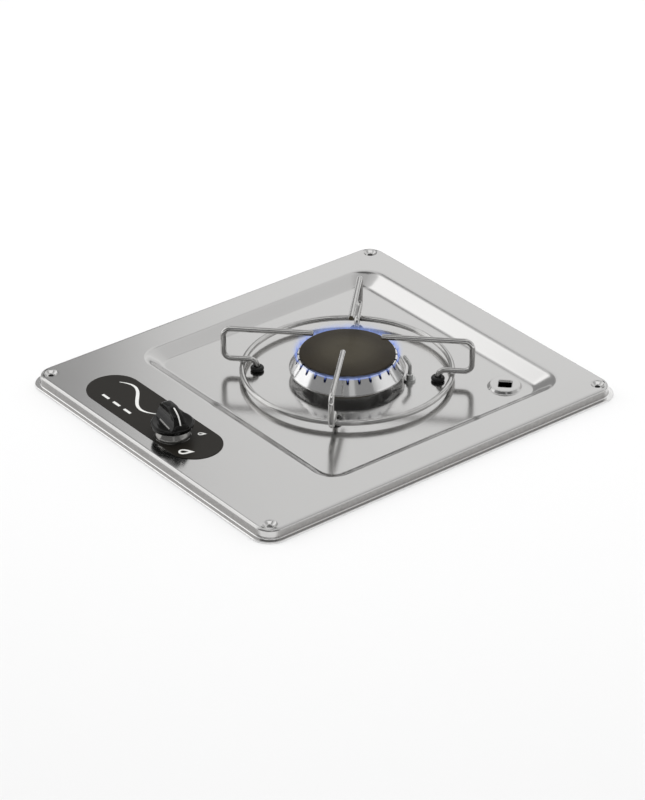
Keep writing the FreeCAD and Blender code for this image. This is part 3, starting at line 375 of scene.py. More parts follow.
def service_boss():
    """Raised boss: turned flank, flat head and a rounded square hole that stands on its corner."""
    head_z = FLOOR_Z + BOSS_RISE
    profile = rounded(
        [(BOSS_FOOT, FLOOR_Z), (14.3, FLOOR_Z), (12.6, head_z), (10.4, head_z)], [1.1, 0.9], 6)
    rings = [circle(BOSS, r, z) for r, z in profile]
    quarter = math.radians(45)
    for half, drop in ((6.6, 0.0), (5.95, 0.02), (5.72, 0.14), (5.65, 0.4), (5.65, 1.6)):
        rings.append(soft_square(BOSS, half, quarter, head_z - drop))
    return skin(rings)


def make_plate(finish):
    """The pressed top as one sheet: lip, skirt, level top, dimples, well and boss."""
    skirt = plate_skirt()
    wall = well_wall()
    count = len(wall[0])
    dimples = [circle(at, DIMPLE_R, TOP_Z, 64) for at in SCREWS]
    top = level_sheet(skirt[0][-count:], [wall[0], circle(KNOB, KNOB_HOLE, TOP_Z)] + dimples, TOP_Z)
    openings = [circle(BOSS, BOSS_FOOT, FLOOR_Z), circle(BURNER, CUP_HOLE, FLOOR_Z)]
    floor = level_sheet(wall[-1], openings, FLOOR_Z)
    parts = [skirt, skin(wall), top, floor, service_boss()]
    parts += [screw_dimple(at) for at in SCREWS]
    piece = add_piece("pressed_top", parts, "hob", finish, "hob_top", sharp=60, sheet=True)
    thicken(piece, SHEET)


def rest_path():
    """Pan rest in its own upright plane: level run, rounded drop, return leg and foot."""
    corners = [(REST_IN, REST_Z), (REST_OUT, REST_Z), (REST_OUT, LEG_Z), (BUSH_AT, LEG_Z), (BUSH_AT, 1.8)]
    flat = rounded(corners, [BEND_R] * 3, steps=10)
    return np.stack([flat[:, 0], 0 * flat[:, 0], flat[:, 1]], axis=-1)


def weld_bead(angle):
    """Weld between ring and rest: an egg-shaped blob, slightly lumpy, flattened against both wires."""
    a = np.linspace(0, 2 * np.pi, 28, endpoint=False)[None, :]
    b = np.linspace(-np.pi / 2, np.pi / 2, 13)[:, None]
    lump = 1 + 0.06 * np.sin(3 * a + 2 * b) * np.cos(b)
    x = RING_R + 3.0 * np.cos(b) * np.cos(a) * lump
    y = 3.0 * np.cos(b) * np.sin(a) * lump
    z = (RING_Z + LEG_Z) / 2 + 1.7 * np.sin(b) * lump
    rings = turned_about(np.stack([x, y, z], axis=-1), BURNER, angle)
    return skin(rings)


def make_pan_support(finish):
    """Four bent wire rests on a wire ring, welded where they cross."""
    add_piece("wire_ring", [hoop(BURNER, RING_R, RING_Z, WIRE_R)], "pan_support", finish,
              "pan_ring")
    for side, degrees in RESTS.items():
        angle = math.radians(degrees)
        points, faces = tube(rest_path(), WIRE_R, sides=24, reference=(0, 1, 0))
        rest = turned_about(points, BURNER, angle)
        add_piece("wire_rest_" + side, [(rest, faces)], "pan_support", finish,
                  "pan_rest_" + side)
        add_piece("weld_" + side, [weld_bead(angle)], "pan_support", finish, ())


def make_bushes(finish):
    """Barrel-shaped rubber bushes with a pinched waist in the plate round the foot of each rest."""
    profile = rounded(
        [(0, -2), (4.4, -2), (5.4, -1), (5.4, 2), (3.4, 2), (3.4, 3), (4.6, 3.1), (5.75, 4.2), (5.75, 5.6),
         (4.6, 7.1), (2.5, 6.6), (2.5, 1.6), (0, 1.6)],
        [0, 0.4, 0.4, 0.1, 0.1, 0.1, 0.8, 1.2, 1.2, 1.0, 0.3, 0], steps=5)
    for side in RESTS:
        at = centre("bush_" + side)
        add_piece("foot_bush_" + side, [lathe(profile, at, 48)], "hob", finish,
                  "bush_" + side)


def crown_rings():
    """Crown: a turned profile whose points over the port floor drop to it in the port columns."""
    profile = rounded(
        [(11, 4), (13, 4), (13, 14.5), (38.6, 14.5), (45.9, 10), (CROWN_FOOT_R, 10),
         (CROWN_FOOT_R, CROWN_FOOT_Z), (CROWN_HEAD_R, CROWN_HEAD_Z),
         (38.5, CROWN_HEAD_Z), (38.5, 16.5), (11, 16.5), (11, 4)],
        [0.2, 0.2, 0.5, 0.6, 0.5, 0.5, 0.55, 0.3, 0.4, 0.4, 0], steps=4)
    flank = np.linspace(0, 1, 9)[1:-1, None]
    top = int(np.argmax(profile[:, 1] > 22.5))
    low, high = profile[top - 1], profile[top]
    profile = np.concatenate([profile[:top], low + flank * (high - low), profile[top:]])
    cut = np.argmin(np.abs(profile[:, 1] - SLOT_Z) + 1e3 * (profile[:, 0] < 39))
    lean = (CROWN_FOOT_R - CROWN_HEAD_R) / (CROWN_HEAD_Z - CROWN_FOOT_Z)
    profile[cut] = (CROWN_HEAD_R + (CROWN_HEAD_Z - SLOT_Z) * lean, SLOT_Z)
    pitch = 360 / PORTS
    outer = PORT_HALF + PORT_STEP
    step = np.array([-outer, -PORT_HALF, -0.6, 0.6, PORT_HALF, outer])
    land = np.linspace(outer, pitch - outer, 9)[1:-1]
    offsets = np.concatenate([step, land])
    in_port = np.concatenate([[False, True, True, True, True, False], np.zeros(7, bool)])
    a = np.radians((np.arange(PORTS)[:, None] * pitch + offsets[None, :]).ravel())
    open_column = np.tile(in_port, PORTS)
    r = profile[:, 0:1] + 0 * a
    z = profile[:, 1:2] + 0 * a
    z = np.where(open_column[None, :] & (r > 36), np.minimum(z, SLOT_Z), z)
    return np.stack([BURNER[0] + r * np.cos(a), BURNER[1] + r * np.sin(a), z], axis=-1)


def make_burner(crown_finish, cap_finish):
    """Crown with its gas ports, and the domed cap that lies on it; both are turned profiles."""
    add_piece("port_crown", [skin(crown_rings())], "crown", crown_finish, "burner_crown",
              sharp=28)
    cap = rounded(
        [(0, 23), (36.2, 23), (36.2, 20.4), (38.1, 20.4), (38.1, 23), (39.9, 23), (40.2, 24.6),
         (38.9, 25.25),
         (32, 25.9), (22, 26.6), (11, 27.05), (0, 27.2)],
        [0.2, 0.3, 0.3, 0.2, 0.25, 0.7, 2.0, 8, 20, 30], steps=5)
    add_piece("domed_cap", [lathe(cap, BURNER, 160)], "cap", cap_finish, "burner_cap")


def make_probe(finish):
    """Flame probe: an upright rod on a thicker foot, its head bent in towards the ports."""
    at = centre("thermocouple_probe")[:2]
    low = span("thermocouple_probe")[0][2]
    inward = unit(BURNER[:2] - at)
    corners = [(0, low), (0, 17.5), (5.0, 25.6)]
    line = rounded(corners, [5.0], steps=8)
    path = np.column_stack([at[0] + inward[0] * line[:, 0], at[1] + inward[1] * line[:, 0], line[:, 1]])
    foot = rounded([(0, 5), (PROBE_R + 1.2, 5), (PROBE_R + 1.2, 9), (0, 9.6)], [0.3, 0.4], steps=4)
    add_piece("bent_probe", [tube(path, PROBE_R, sides=20), lathe(foot, at, 32)], "hob", finish,
              "thermocouple_probe")


def make_spring(finish):
    """Coil spring of three turns under the tap's push ring."""
    low, high = span("valve_spring")
    thick = 0.4
    turn = np.linspace(0, 6 * np.pi, 109)
    r = high[0] - KNOB[0] - thick
    rise = low[2] + thick + (high[2] - low[2] - 2 * thick) * turn / turn[-1]
    path = np.column_stack([KNOB[0] + r * np.cos(turn), KNOB[1] + r * np.sin(turn), rise])
    coil = tube(path, thick, sides=12, chamfer=0.1, reference=(0, 0, 1))
    piece = add_piece("tap_spring", [coil], "hob", finish, "valve_spring")
    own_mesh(piece)


def blade_section(u, high):
    """One cut across the grip at u along it: up the flank, over the ridge and down again.

    Its half width is a narrow blade plus a foot that fades as height to the power 2.6, less a quarter
    round at the ridge, and it stays inside the circle of the knob's disc.
    """
    rise = np.linspace(0, 1, 15)
    z = GRIP_FOOT_Z + (high - GRIP_FOOT_Z) * rise
    flare = 4.35 + 3.9 * np.clip(1 - (z - 22.6) / 12.5, 0, 1) ** 2.6
    bevel = 1.3
    near = np.clip((z - (high - bevel)) / bevel, 0, 1)
    half = flare - bevel * (1 - np.sqrt(1 - near ** 2))
    limit = math.sqrt(max(GRIP_LIMIT_R ** 2 - u ** 2, 0.01))
    half = np.minimum(half, limit)
    cross = np.linspace(1, -1, 9)[1:-1]
    y = np.concatenate([half, half[-1] * cross, -half[::-1]])
    z = np.concatenate([z, high + 0.12 * (1 - cross ** 2), z[::-1]])
    return np.stack([np.full(len(y), u), y, z], axis=-1)


def ridge_line():
    """Side view of the grip from its rear foot over the ridge to its front foot."""
    return rounded(
        [(-16.2, GRIP_FOOT_Z), (-16.1, 27), (-14.4, 32.6), (-10.4, 36.2), (-1, 37.4), (6.6, 36.5),
         (12.2, 33), (15.3, 28), (16.5, 22.6), (16.6, GRIP_FOOT_Z)],
        [4, 5, 7, 20, 18, 9, 9, 4, 0], steps=7)


def make_knob(finish, pointer_finish):
    """Knob: hollow neck, flared rim, dished disc, and a waisted grip with a white pointer."""
    shell = rounded(
        [(4.05, 9), (6.6, 9), (6.6, 19), (11.6, 19), (11.6, 7), (13.6, 7), (13.6, 9.2), (14.7, 9.9),
         (14.2, 12.6), (12.0, 15.6), (12.6, 16.6), (17.2, 18.6), (17.6, 21.9), (16.2, 23.0), (12, 22.5),
         (6, 22.3), (0, 22.3)],
        [0.2, 0.4, 0.4, 0.5, 0.5, 0.4, 0.4, 4, 0.6, 0.6, 1.0, 0.9, 1.0, 4, 4], steps=6)
    shell = np.concatenate([shell, [(0, 21), (4.05, 21), (4.05, 9)]])
    ridge = ridge_line()
    blade = np.array([blade_section(u, high) for u, high in ridge])
    parts = [lathe(shell, KNOB, 144)]
    add_piece("knob_body", parts, "knob", finish, "knob", sharp=40)
    grip = skin(turned_about(with_ends(blade), KNOB, POINTER_TURN))
    add_piece("knob_grip", [grip], "knob", finish, (), sharp=45)
    front = ridge[(ridge[:, 0] > 3.2) & (ridge[:, 1] > 23.2)]
    along = unit(np.gradient(front, axis=0))
    out = np.stack([-along[:, 1], along[:, 0]], axis=-1)
    rings = []
    for side, lift in ((-0.62, -0.5), (-0.62, 0.03), (-0.5, 0.16), (0.5, 0.16), (0.62, 0.03), (0.62, -0.5)):
        line = front + out * (lift + 0.1)
        rings.append(np.stack([line[:, 0], np.full(len(front), side), line[:, 1]], axis=-1))
    rings = np.stack(rings, axis=1)
    strip = skin(turned_about(with_ends(rings), KNOB, POINTER_TURN))
    add_piece("pointer_line", [strip], "knob", pointer_finish, "knob_pointer")


def teardrop(at, length, width, turn, shrink=1.0, count=48):
    """Closed flame outline: width * sin(a) * sin(a / 2) ^ 1.6 across and -length * cos(a) / 2 along."""
    a = np.linspace(0, 2 * np.pi, count, endpoint=False)
    along = length / 2 * np.cos(a) * shrink
    across = width / 2 * np.sin(a) * np.sin(a / 2) ** 1.6 * 1.3 * shrink
    c, s = math.cos(turn), math.sin(turn)
    return np.stack([at[0] + c * along - s * across, at[1] + s * along + c * across], axis=-1)


def print_ring(outer, inner, z):
    """Printed shape between two closed lines, a hair above the film: up, across, down and back below."""
    low = z - PRINT_THICK
    rings = [np.column_stack([line, np.full(len(line), h)]) for line, h in
             ((outer, low), (outer, z), (inner, z), (inner, low), (outer, low))]
    return skin(rings)


def stroke(line, width, z):
    """Printed line: a strip whose half width follows the line, square to it."""
    line = np.asarray(line, float)
    along = unit(np.gradient(line, axis=0))
    side = np.stack([-along[:, 1], along[:, 0]], axis=-1) * np.asarray(width).reshape(-1, 1) / 2
    left, right = line + side, line - side
    low = z - PRINT_THICK
    edges = [np.column_stack([edge, np.full(len(edge), h)]) for edge, h in
             ((left, low), (left, z), (right, z), (right, low))]
    return skin(with_ends(np.stack(edges, axis=1)))


def make_label_print(finish):
    """Two flame marks for the large and small setting, and a plain wave over three bars."""
    z = span("control_label")[1][2] + 0.05
    tip = math.radians(52)
    parts = []
    for at, size in (((23.3, -157.7), 13.5), ((9.0, -131.5), 7.5)):
        outer = teardrop(at, size, size * 0.62, tip)
        heart = np.array(at) - size * 0.12 * np.array([math.cos(tip), math.sin(tip)])
        inner = teardrop(heart, size * 0.5, size * 0.3, tip)
        parts.append(print_ring(outer, inner, z))
    t = np.linspace(0, 1, 40)
    wave = np.stack([-100 + 62 * t, -139 + 9 * np.sin(2 * np.pi * t * 0.9 + 0.4)], axis=-1)
    parts.append(stroke(wave, 0.7 + 2.2 * np.sin(np.pi * t), z))
    for i in range(3):
        bar = np.stack([-92 + 15 * i + 9 * t, -158 + 0 * t], axis=-1)
        parts.append(stroke(bar, 2.4 + 0 * t, z))
    add_piece("label_print", parts, "hob", finish, ())


def flame_rings(angle, length, width):
    """One flame: a bulb that leans outwards from its port and draws out to a tip."""
    t = np.linspace(0, 1, 8)
    r = 41.9 + length * (0.5 * t - 0.2 * t ** 2)
    z = 20.1 + length * (0.45 * t + 0.5 * t ** 2)
    thick = width * np.sqrt(t + 0.02) * (1 - t) ** 0.75 * 1.6
    thick[0] = 0
    thick[-1] = 0
    a = np.linspace(0, 2 * np.pi, 10, endpoint=False)[None, :]
    along = unit(np.stack([np.gradient(r), np.gradient(z)], axis=-1))
    x = r[:, None] - along[:, 1:2] * thick[:, None] * np.cos(a)
    y = thick[:, None] * np.sin(a)
    up = z[:, None] + along[:, 0:1] * thick[:, None] * np.cos(a)
    return skin(turned_about(np.stack([x, y, up], axis=-1), BURNER, angle))


def glow_sheet(lift, reach):
    """Flared sheet of glow round the ports: reach * t outwards and lift * (t + t ^ 2) / 2 upwards.

    Its rim waves once per port.
    """
    a = np.linspace(0, 2 * np.pi, PORTS * 8 + 1)[None, :]
    t = np.linspace(0, 1, 14)[:, None]
    wave = 1 + 0.12 * np.cos(PORTS * a)
    r = 40.9 + reach * t * wave
    z = 21.4 + lift * (t + t ** 2) / 2 * wave
    return skin(np.stack([BURNER[0] + r * np.cos(a), BURNER[1] + r * np.sin(a), z], axis=-1), closed=False)


def make_flames(core_finish, glow_finish):
    """A small blue flame at every port in flared sheets of glow, all too faint for the metal to mirror."""
    wave = np.random.default_rng(7).uniform(-1, 1, PORTS)
    angles = np.radians(np.arange(PORTS) * 360 / PORTS)
    cores = [flame_rings(a, 5.4 + 0.8 * w, 0.9) for a, w in zip(angles, wave)]
    glow = [glow_sheet(8.5, 6.5), glow_sheet(6.0, 3.6)]
    for piece in (add_piece("flame_cores", cores, "crown", core_finish),
                  add_piece("flame_glow", glow, "crown", glow_finish)):
        piece.visible_glossy = False


# ---------------------------------------------------------------- materials

class Number:
    """One value that varies over a material; sums on it add Math nodes."""

    def __init__(self, paint, socket):
        self.paint = paint
        self.socket = socket

    def math(self, operation, *values):
        """Adds one Math node on these values, in their order."""
        return self.paint.node("ShaderNodeMath", {"operation": operation}, dict(enumerate(values)))

    def __add__(self, other):
        return self.math("ADD", self, other)

    def __sub__(self, other):
        return self.math("SUBTRACT", self, other)

    def __rsub__(self, other):
        return self.math("SUBTRACT", other, self)

    def __mul__(self, other):
        return self.math("MULTIPLY", self, other)

    def __truediv__(self, other):
        return self.math("DIVIDE", self, other)

    def __pow__(self, other):
        return self.math("POWER", self, other)

    def __abs__(self):
        return self.math("ABSOLUTE", self)

    __radd__ = __add__
    __rmul__ = __mul__

    def sine(self):
        """Sine of the value, in radians."""
        return self.math("SINE", self)

    def highest(self, other):
        """The larger of two values."""
        return self.math("MAXIMUM", self, other)


class Graph:
    """Builds the nodes of one material or of the room."""

    def __init__(self, tree):
        self.tree = tree

    def node(self, kind, settings, values, output=0):
        """Adds any node: its settings first, then its sockets' values or links."""
        made = self.tree.nodes.new(kind)
        for key, value in settings.items():
            if key == "stops":
                self.set_stops(made.color_ramp, value)
            else:
                setattr(made, key, value)
        for key, value in values.items():
            self.feed(made.inputs[key], value)
        return Number(self, made.outputs[output])

    def feed(self, socket, value):
        """Links a varying value to a socket, or sets a plain one on it."""
        if isinstance(value, Number):
            self.tree.links.new(value.socket, socket)
        else:
            socket.default_value = value

    def set_stops(self, ramp, stops):
        """Gives a colour ramp its stops, each a position and a colour."""
        while len(ramp.elements) < len(stops):
            ramp.elements.new(0.5)
        for element, (position, colour) in zip(ramp.elements, stops):
            element.position = position
            element.color = (*colour, 1.0)

    def place(self):
        """Object coordinates in millimetres."""
        where = self.node("ShaderNodeTexCoord", {}, {}, "Object")
        return self.node("ShaderNodeVectorMath", {"operation": "SCALE"}, {0: where, "Scale": 1000.0})

    def moved(self, where, shift=(0, 0, 0), scale=(1, 1, 1)):
        """Pattern coordinates stretched by scale, then shifted."""
        return self.node("ShaderNodeMapping", {}, {"Vector": where, "Location": shift, "Scale": scale})

    def axes(self, where):
        """The three parts of a position."""
        return [self.node("ShaderNodeSeparateXYZ", {}, {0: where}, axis) for axis in ("X", "Y", "Z")]

    def noise(self, where, size, detail=3.0, rough=0.5):
        """Noise from 0 to 1 with blotches about size millimetres across."""
        values = {"Vector": where, "Scale": 1.0 / size, "Detail": detail, "Roughness": rough}
        return self.node("ShaderNodeTexNoise", {}, values, "Fac")

    def step(self, value, low, high):
        """0 below low, 1 above high, soft between."""
        values = {"Value": value, "From Min": low, "From Max": high}
        return self.node("ShaderNodeMapRange", {"interpolation_type": "SMOOTHSTEP"}, values)

    def mix(self, share, one, two):
        """Colour one where share is 0, colour two where it is 1."""
        one = (*one, 1.0) if isinstance(one, tuple) else one
        two = (*two, 1.0) if isinstance(two, tuple) else two
        return self.node("ShaderNodeMix", {"data_type": "RGBA"}, {0: share, 6: one, 7: two}, 2)


class Paint(Graph):
    """One procedural material on a Principled shader, whose constants sit on its own sockets."""

    def __init__(self, name, **constants):
        self.material = bpy.data.materials.new(name)
        self.material.use_nodes = True
        super().__init__(self.material.node_tree)
        self.shader = next(n for n in self.tree.nodes if n.type == "BSDF_PRINCIPLED")
        for key, value in constants.items():
            socket = self.shader.inputs[key.replace("_", " ").title().replace("Ior", "IOR")]
            socket.default_value = (*value, 1.0) if isinstance(value, tuple) else value

    def set(self, **inputs):
        """Links varying values to the shader's own sockets."""
        for key, value in inputs.items():
            self.feed(self.shader.inputs[key.replace("_", " ").title()], value)

    def bump(self, height, depth, strength=1.0):
        """Surface relief of a height from 0 to 1 that is depth millimetres deep."""
        values = {"Height": height, "Distance": depth * MM, "Strength": strength}
        self.set(Normal=self.node("ShaderNodeBump", {}, values))
        return self


def pressed_steel():
    """Bright satin sheet: fine rolling grain, faint smears, a rougher mottled skirt painted darker as a
    painted reflection of a dim room, and a lip painted brighter as a painted highlight.
    """
    paint = Paint("pressed steel", metallic=1.0)
    where = paint.place()
    x, y, z = paint.axes(where)
    grain = paint.noise(paint.moved(where, scale=(0.05, 1.0, 1.0)), 0.6, 2.0)
    smear = paint.noise(where, 60.0, 2.0)
    mottle = paint.noise(where, 2.6, 4.0, 0.65)
    away = ((x - BURNER[0]) ** 2 + (y - BURNER[1]) ** 2) ** 0.5
    ripple = paint.noise(where, 16.0, 1.0) * paint.step(away, 78.0, 55.0)
    # painted reflection: the skirt band is painted darker, as if mirroring a dim room, with a mottle over it
    skirt = paint.step(abs(x), 157.0, 158.6).highest(paint.step(abs(y), 180.3, 181.9))
    skirt = skirt * paint.step(z, 8.6, 7.2) * paint.step(z, 1.5, 2.3)
    # painted highlight: the lip and the foot of the skirt are painted brighter
    lip = paint.step(z, 2.0, 1.5)
    level = paint.mix(smear, (0.62, 0.615, 0.608), (0.65, 0.645, 0.638))
    # edge: the skirt's painted dark reflection colour, mottled
    edge = paint.mix(mottle, (0.22, 0.215, 0.21), (0.46, 0.45, 0.44))
    # rolled: the lip's painted highlight colour, not a finish of its own
    rolled = paint.mix(mottle, (0.74, 0.735, 0.73), (0.95, 0.945, 0.94))
    paint.set(base_color=paint.mix(lip, paint.mix(skirt, level, edge), rolled))
    paint.set(roughness=0.115 + smear * 0.04 + grain * 0.03 + skirt * 0.22)
    return paint.bump(grain * 0.5 + mottle * skirt + ripple * 9.0, 0.02, 0.35).material


def chrome_wire():
    """Plated wire: near mirror with slight draw lines."""
    paint = Paint("chrome wire", metallic=1.0)
    where = paint.place()
    haze = paint.noise(where, 7.0, 3.0)
    pits = paint.noise(where, 0.8, 2.0)
    paint.set(base_color=paint.mix(haze, (0.5, 0.495, 0.485), (0.68, 0.675, 0.665)))
    paint.set(roughness=0.07 + haze * 0.1)
    return paint.bump(pits, 0.02, 0.4).material


def crown_metal():
    """Turned aluminium: rings left by the tool, soft blotches, and painted shade tinted by the flames' blue
    light inside the ports.
    """
    paint = Paint("crown aluminium", metallic=1.0)
    where = paint.moved(paint.place(), shift=(-BURNER[0], -BURNER[1], 0))
    x, y, z = paint.axes(where)
    lines = (z * 9.0).sine() * 0.5 + 0.5
    haze = paint.noise(where, 9.0, 3.0)
    # painted shade: the faces inside each port are painted blue-black, shade in the slot tinted by the
    # flames' blue light
    wedge = abs((y.math("ARCTAN2", y, x) * (PORTS / 2)).sine())
    port = paint.step(wedge, 0.34, 0.24) * paint.step(z, 18.2, 19.2)
    metal = paint.mix(haze, (0.74, 0.74, 0.74), (0.86, 0.86, 0.86))
    paint.set(base_color=paint.mix(port, metal, (0.02, 0.03, 0.10)))
    paint.set(roughness=0.08 + haze * 0.08 + port * 0.3)
    return paint.bump(lines * 0.4 + haze, 0.03, 0.3).material


def enamel():
    """Dark brown-grey enamel with an orange-peel skin and fine specks, and a painted sheen: lighter over the
    middle of the dome, darker towards its rim.
    """
    paint = Paint("cap enamel", metallic=0.0, specular_ior_level=0.15)
    where = paint.place()
    peel = paint.noise(where, 1.6, 2.0)
    specks = paint.step(paint.noise(where, 0.5, 2.0), 0.62, 0.72)
    cloud = paint.noise(where, 14.0, 3.0)
    x, y, _ = paint.axes(where)
    away = ((x - BURNER[0]) ** 2 + (y - BURNER[1]) ** 2) ** 0.5
    baked = paint.mix(cloud, (0.040, 0.034, 0.023), (0.058, 0.050, 0.034))
    # painted sheen: the dome is painted lighter in its middle and darker towards its rim
    body = paint.mix(paint.step(away, 12.0, 36.0), baked, (0.024, 0.019, 0.012))
    paint.set(base_color=paint.mix(specks * 0.35, body, (0.11, 0.095, 0.08)))
    paint.set(roughness=0.36 + cloud * 0.12)
    return paint.bump(peel + specks * 0.3, 0.05, 0.4).material


def black_plastic():
    """Glossy black moulding, rubbed in patches, on a smoked metal collar below its rim, with a painted
    highlight line along the foot of the grip.
    """
    paint = Paint("knob plastic", specular_ior_level=0.24)
    where = paint.place()
    x, y, z = paint.axes(where)
    rub = paint.noise(where, 5.0, 3.0)
    ripple = paint.noise(where, 4.0, 1.0)
    collar = paint.step(z, 17.3, 17.0)
    c, s = math.cos(POINTER_TURN), math.sin(POINTER_TURN)
    along = (x - KNOB[0]) * c + (y - KNOB[1]) * s
    across = (y - KNOB[1]) * c - (x - KNOB[0]) * s
    # painted highlight: a thin light grey line along the foot of both grip flanks, where they meet the disc
    crease_highlight = paint.step(abs(abs(across) - 7.75), 0.42, 0.2) * paint.step(abs(along - 2.0), 9.5, 8.0)
    crease_highlight = crease_highlight * paint.step(z, 21.9, 22.1)
    black = paint.mix(rub, (0.003, 0.003, 0.003), (0.008, 0.008, 0.007))
    body = paint.mix(crease_highlight, black, (0.42, 0.415, 0.4))
    paint.set(base_color=paint.mix(collar, body, (0.3, 0.295, 0.285)), metallic=collar * 0.95)
    paint.set(roughness=0.07 + rub * 0.1)
    return paint.bump(ripple, 0.05, 0.3).material


def label_film():
    """Satin dark film with a very fine tooth."""
    paint = Paint("label film", metallic=0.0, specular_ior_level=0.16)
    where = paint.place()
    tooth = paint.noise(where, 0.35, 2.0)
    cloud = paint.noise(where, 25.0, 2.0)
    paint.set(base_color=paint.mix(cloud, (0.013, 0.0115, 0.0095), (0.018, 0.016, 0.013)))
    paint.set(roughness=0.34 + tooth * 0.12)
    return paint.bump(tooth, 0.01, 0.3).material


def plain(name, dark, light, size, rough, spread, relief=0.03, metal=0.0, **constants):
    """Finish that wanders between two colours in clouds of the given size, with a finer relief."""
    paint = Paint(name, metallic=metal, **constants)
    where = paint.place()
    cloud = paint.noise(where, size, 4.0, 0.6)
    fine = paint.noise(where, size / 6, 3.0)
    paint.set(base_color=paint.mix(cloud, dark, light))
    paint.set(roughness=rough + (cloud - 0.5) * spread + fine * spread)
    return paint.bump(fine, relief, 0.5).material


def burning(name):
    """Black, matt base for gas that only glows."""
    paint = Paint(name, roughness=1.0, base_color=(0.0, 0.0, 0.0), specular_ior_level=0.0,
                  emission_strength=1.0)
    where = paint.moved(paint.place(), shift=(-BURNER[0], -BURNER[1], 0))
    return paint, where


def flame_core():
    """Burning gas: deep blue at the port, paler along its length, thin at its edges and at its tip."""
    paint, where = burning("flame core")
    z = paint.axes(where)[2]
    rise = paint.step(z, 20.6, 24.5)
    facing = paint.node("ShaderNodeLayerWeight", {}, {"Blend": 0.3}, "Facing")
    paint.set(emission_color=paint.mix(rise, (0.02, 0.035, 0.16), (0.3, 0.4, 0.9)))
    paint.set(alpha=(1 - facing) * (1 - rise * 0.6) * 0.75)
    return paint.material


def flame_glow():
    """Pale glow that fades upwards and outwards from the ports, in wisps."""
    paint, where = burning("flame glow")
    x, y, z = paint.axes(where)
    away = (x * x + y * y) ** 0.5
    fade = paint.step(away, 50.0, 41.0) * paint.step(z, 30.0, 21.0)
    wisp = paint.noise(where, 5.0, 2.0)
    paint.set(emission_color=paint.mix(fade, (0.46, 0.58, 1.0), (0.22, 0.33, 0.85)))
    paint.set(alpha=paint.step(z, 21.4, 22.2) * fade * (0.16 + wisp * 0.6))
    return paint.material


FINISHES = {
    "pressed_steel": pressed_steel(),
    "wire_chrome": chrome_wire(),
    "crown_aluminium": crown_metal(),
    "cap_enamel": enamel(),
    "knob_plastic": black_plastic(),
    "label_film": label_film(),
    "pointer_plastic": plain("pointer white", (0.72, 0.72, 0.70), (0.82, 0.82, 0.8), 3.0, 0.35, 0.1),
    "bush_rubber": plain("bush rubber", (0.003, 0.003, 0.003), (0.009, 0.009, 0.008), 2.5, 0.3, 0.2, 0.08),
    "cast_aluminium": plain(
        "cast aluminium", (0.42, 0.42, 0.42), (0.58, 0.58, 0.57), 3.0, 0.42, 0.2, 0.12, 1.0),
    "zinc_steel": plain(
        "zinc plated steel", (0.55, 0.56, 0.56), (0.72, 0.72, 0.70), 5.0, 0.28, 0.15, 0.03, 1.0),
    "tap_brass": plain("tap brass", (0.56, 0.40, 0.16), (0.72, 0.54, 0.25), 6.0, 0.3, 0.15, 0.05, 1.0),
    "spring_wire": plain("spring wire", (0.35, 0.35, 0.36), (0.5, 0.5, 0.5), 2.0, 0.3, 0.15, 0.02, 1.0),
    "seal_foam": plain("seal foam", (0.03, 0.03, 0.032), (0.07, 0.07, 0.072), 1.5, 0.85, 0.1, 0.4),
    "gasket_fibre": plain("gasket fibre", (0.30, 0.27, 0.23), (0.42, 0.38, 0.33), 1.2, 0.85, 0.1, 0.2),
    "pipe_aluminium": plain(
        "pipe aluminium", (0.66, 0.66, 0.67), (0.8, 0.8, 0.8), 8.0, 0.24, 0.12, 0.02, 1.0),
    "lead_copper": plain("lead copper", (0.62, 0.28, 0.16), (0.8, 0.42, 0.27), 5.0, 0.26, 0.15, 0.02, 1.0),
}


def finish_frame():
    """Gives every CAD node that still shows the finish its record names."""
    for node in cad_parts.values():
        for place in node.material_slots:
            place.material = FINISHES[place.material.name]


# ---------------------------------------------------------------- studio

def look_along(thing, direction):
    """Turns a camera or light so that it faces along a direction."""
    thing.rotation_mode = "QUATERNION"
    thing.rotation_quaternion = Vector(direction).to_track_quat("-Z", "Y")


CAMERA_AT = (1.7951, -1.4325, 1.3435)
CAMERA_LOOK = (-0.6734, 0.537, -0.508)
CAMERA_LENS = 144.55


def add_camera():
    """Long lens high over the right front corner."""
    data = bpy.data.cameras.new("camera")
    data.sensor_width = 36.0
    data.lens = CAMERA_LENS
    data.clip_end = 50.0
    camera = bpy.data.objects.new("camera", data)
    camera.location = CAMERA_AT
    look_along(camera, CAMERA_LOOK)
    bpy.context.scene.collection.objects.link(camera)
    bpy.context.scene.camera = camera


def add_panel(name, at, target, width, height, power):
    """Soft light panel that faces its target and is not seen itself."""
    data = bpy.data.lights.new(name, "AREA")
    data.shape = "RECTANGLE"
    data.size = width
    data.size_y = height
    data.energy = power
    panel = bpy.data.objects.new(name, data)
    panel.location = at
    look_along(panel, Vector(target) - Vector(at))
    bpy.context.scene.collection.objects.link(panel)
    panel.visible_camera = False
    return panel


def add_fill():
    """Wide overhead light that brightens bench and dull pieces and stays out of the metal's reflections."""
    panel = add_panel("overhead fill", (-0.3, 0.3, 2.2), (0, 0, 0), 2.4, 2.4, 40)
    panel.visible_glossy = False


def add_floor():
    """Pale bench top with the hob's cut-out, level with the underside of its lip."""
    half = PLATE_HIGH[:2] - 11.0
    hole = outline(-half[0], half[0], -half[1], half[1], 8.0, 0.0)
    rim = circle((0, 0), 6000.0, 0.0, 64)
    points, faces = level_sheet(rim, [hole], -0.05)
    mesh = bpy.data.meshes.new("floor")
    mesh.from_pydata((points * MM).tolist(), [], faces.tolist())
    floor = bpy.data.objects.new("floor", mesh)
    bpy.context.scene.collection.objects.link(floor)
    white = bpy.data.materials.new("floor white")
    white.use_nodes = True
    shader = next(n for n in white.node_tree.nodes if n.type == "BSDF_PRINCIPLED")
    shader.inputs["Base Color"].default_value = (0.86, 0.86, 0.86, 1)
    shader.inputs["Roughness"].default_value = 0.9
    shader.inputs["Specular IOR Level"].default_value = 0.1
    mesh.materials.append(white)


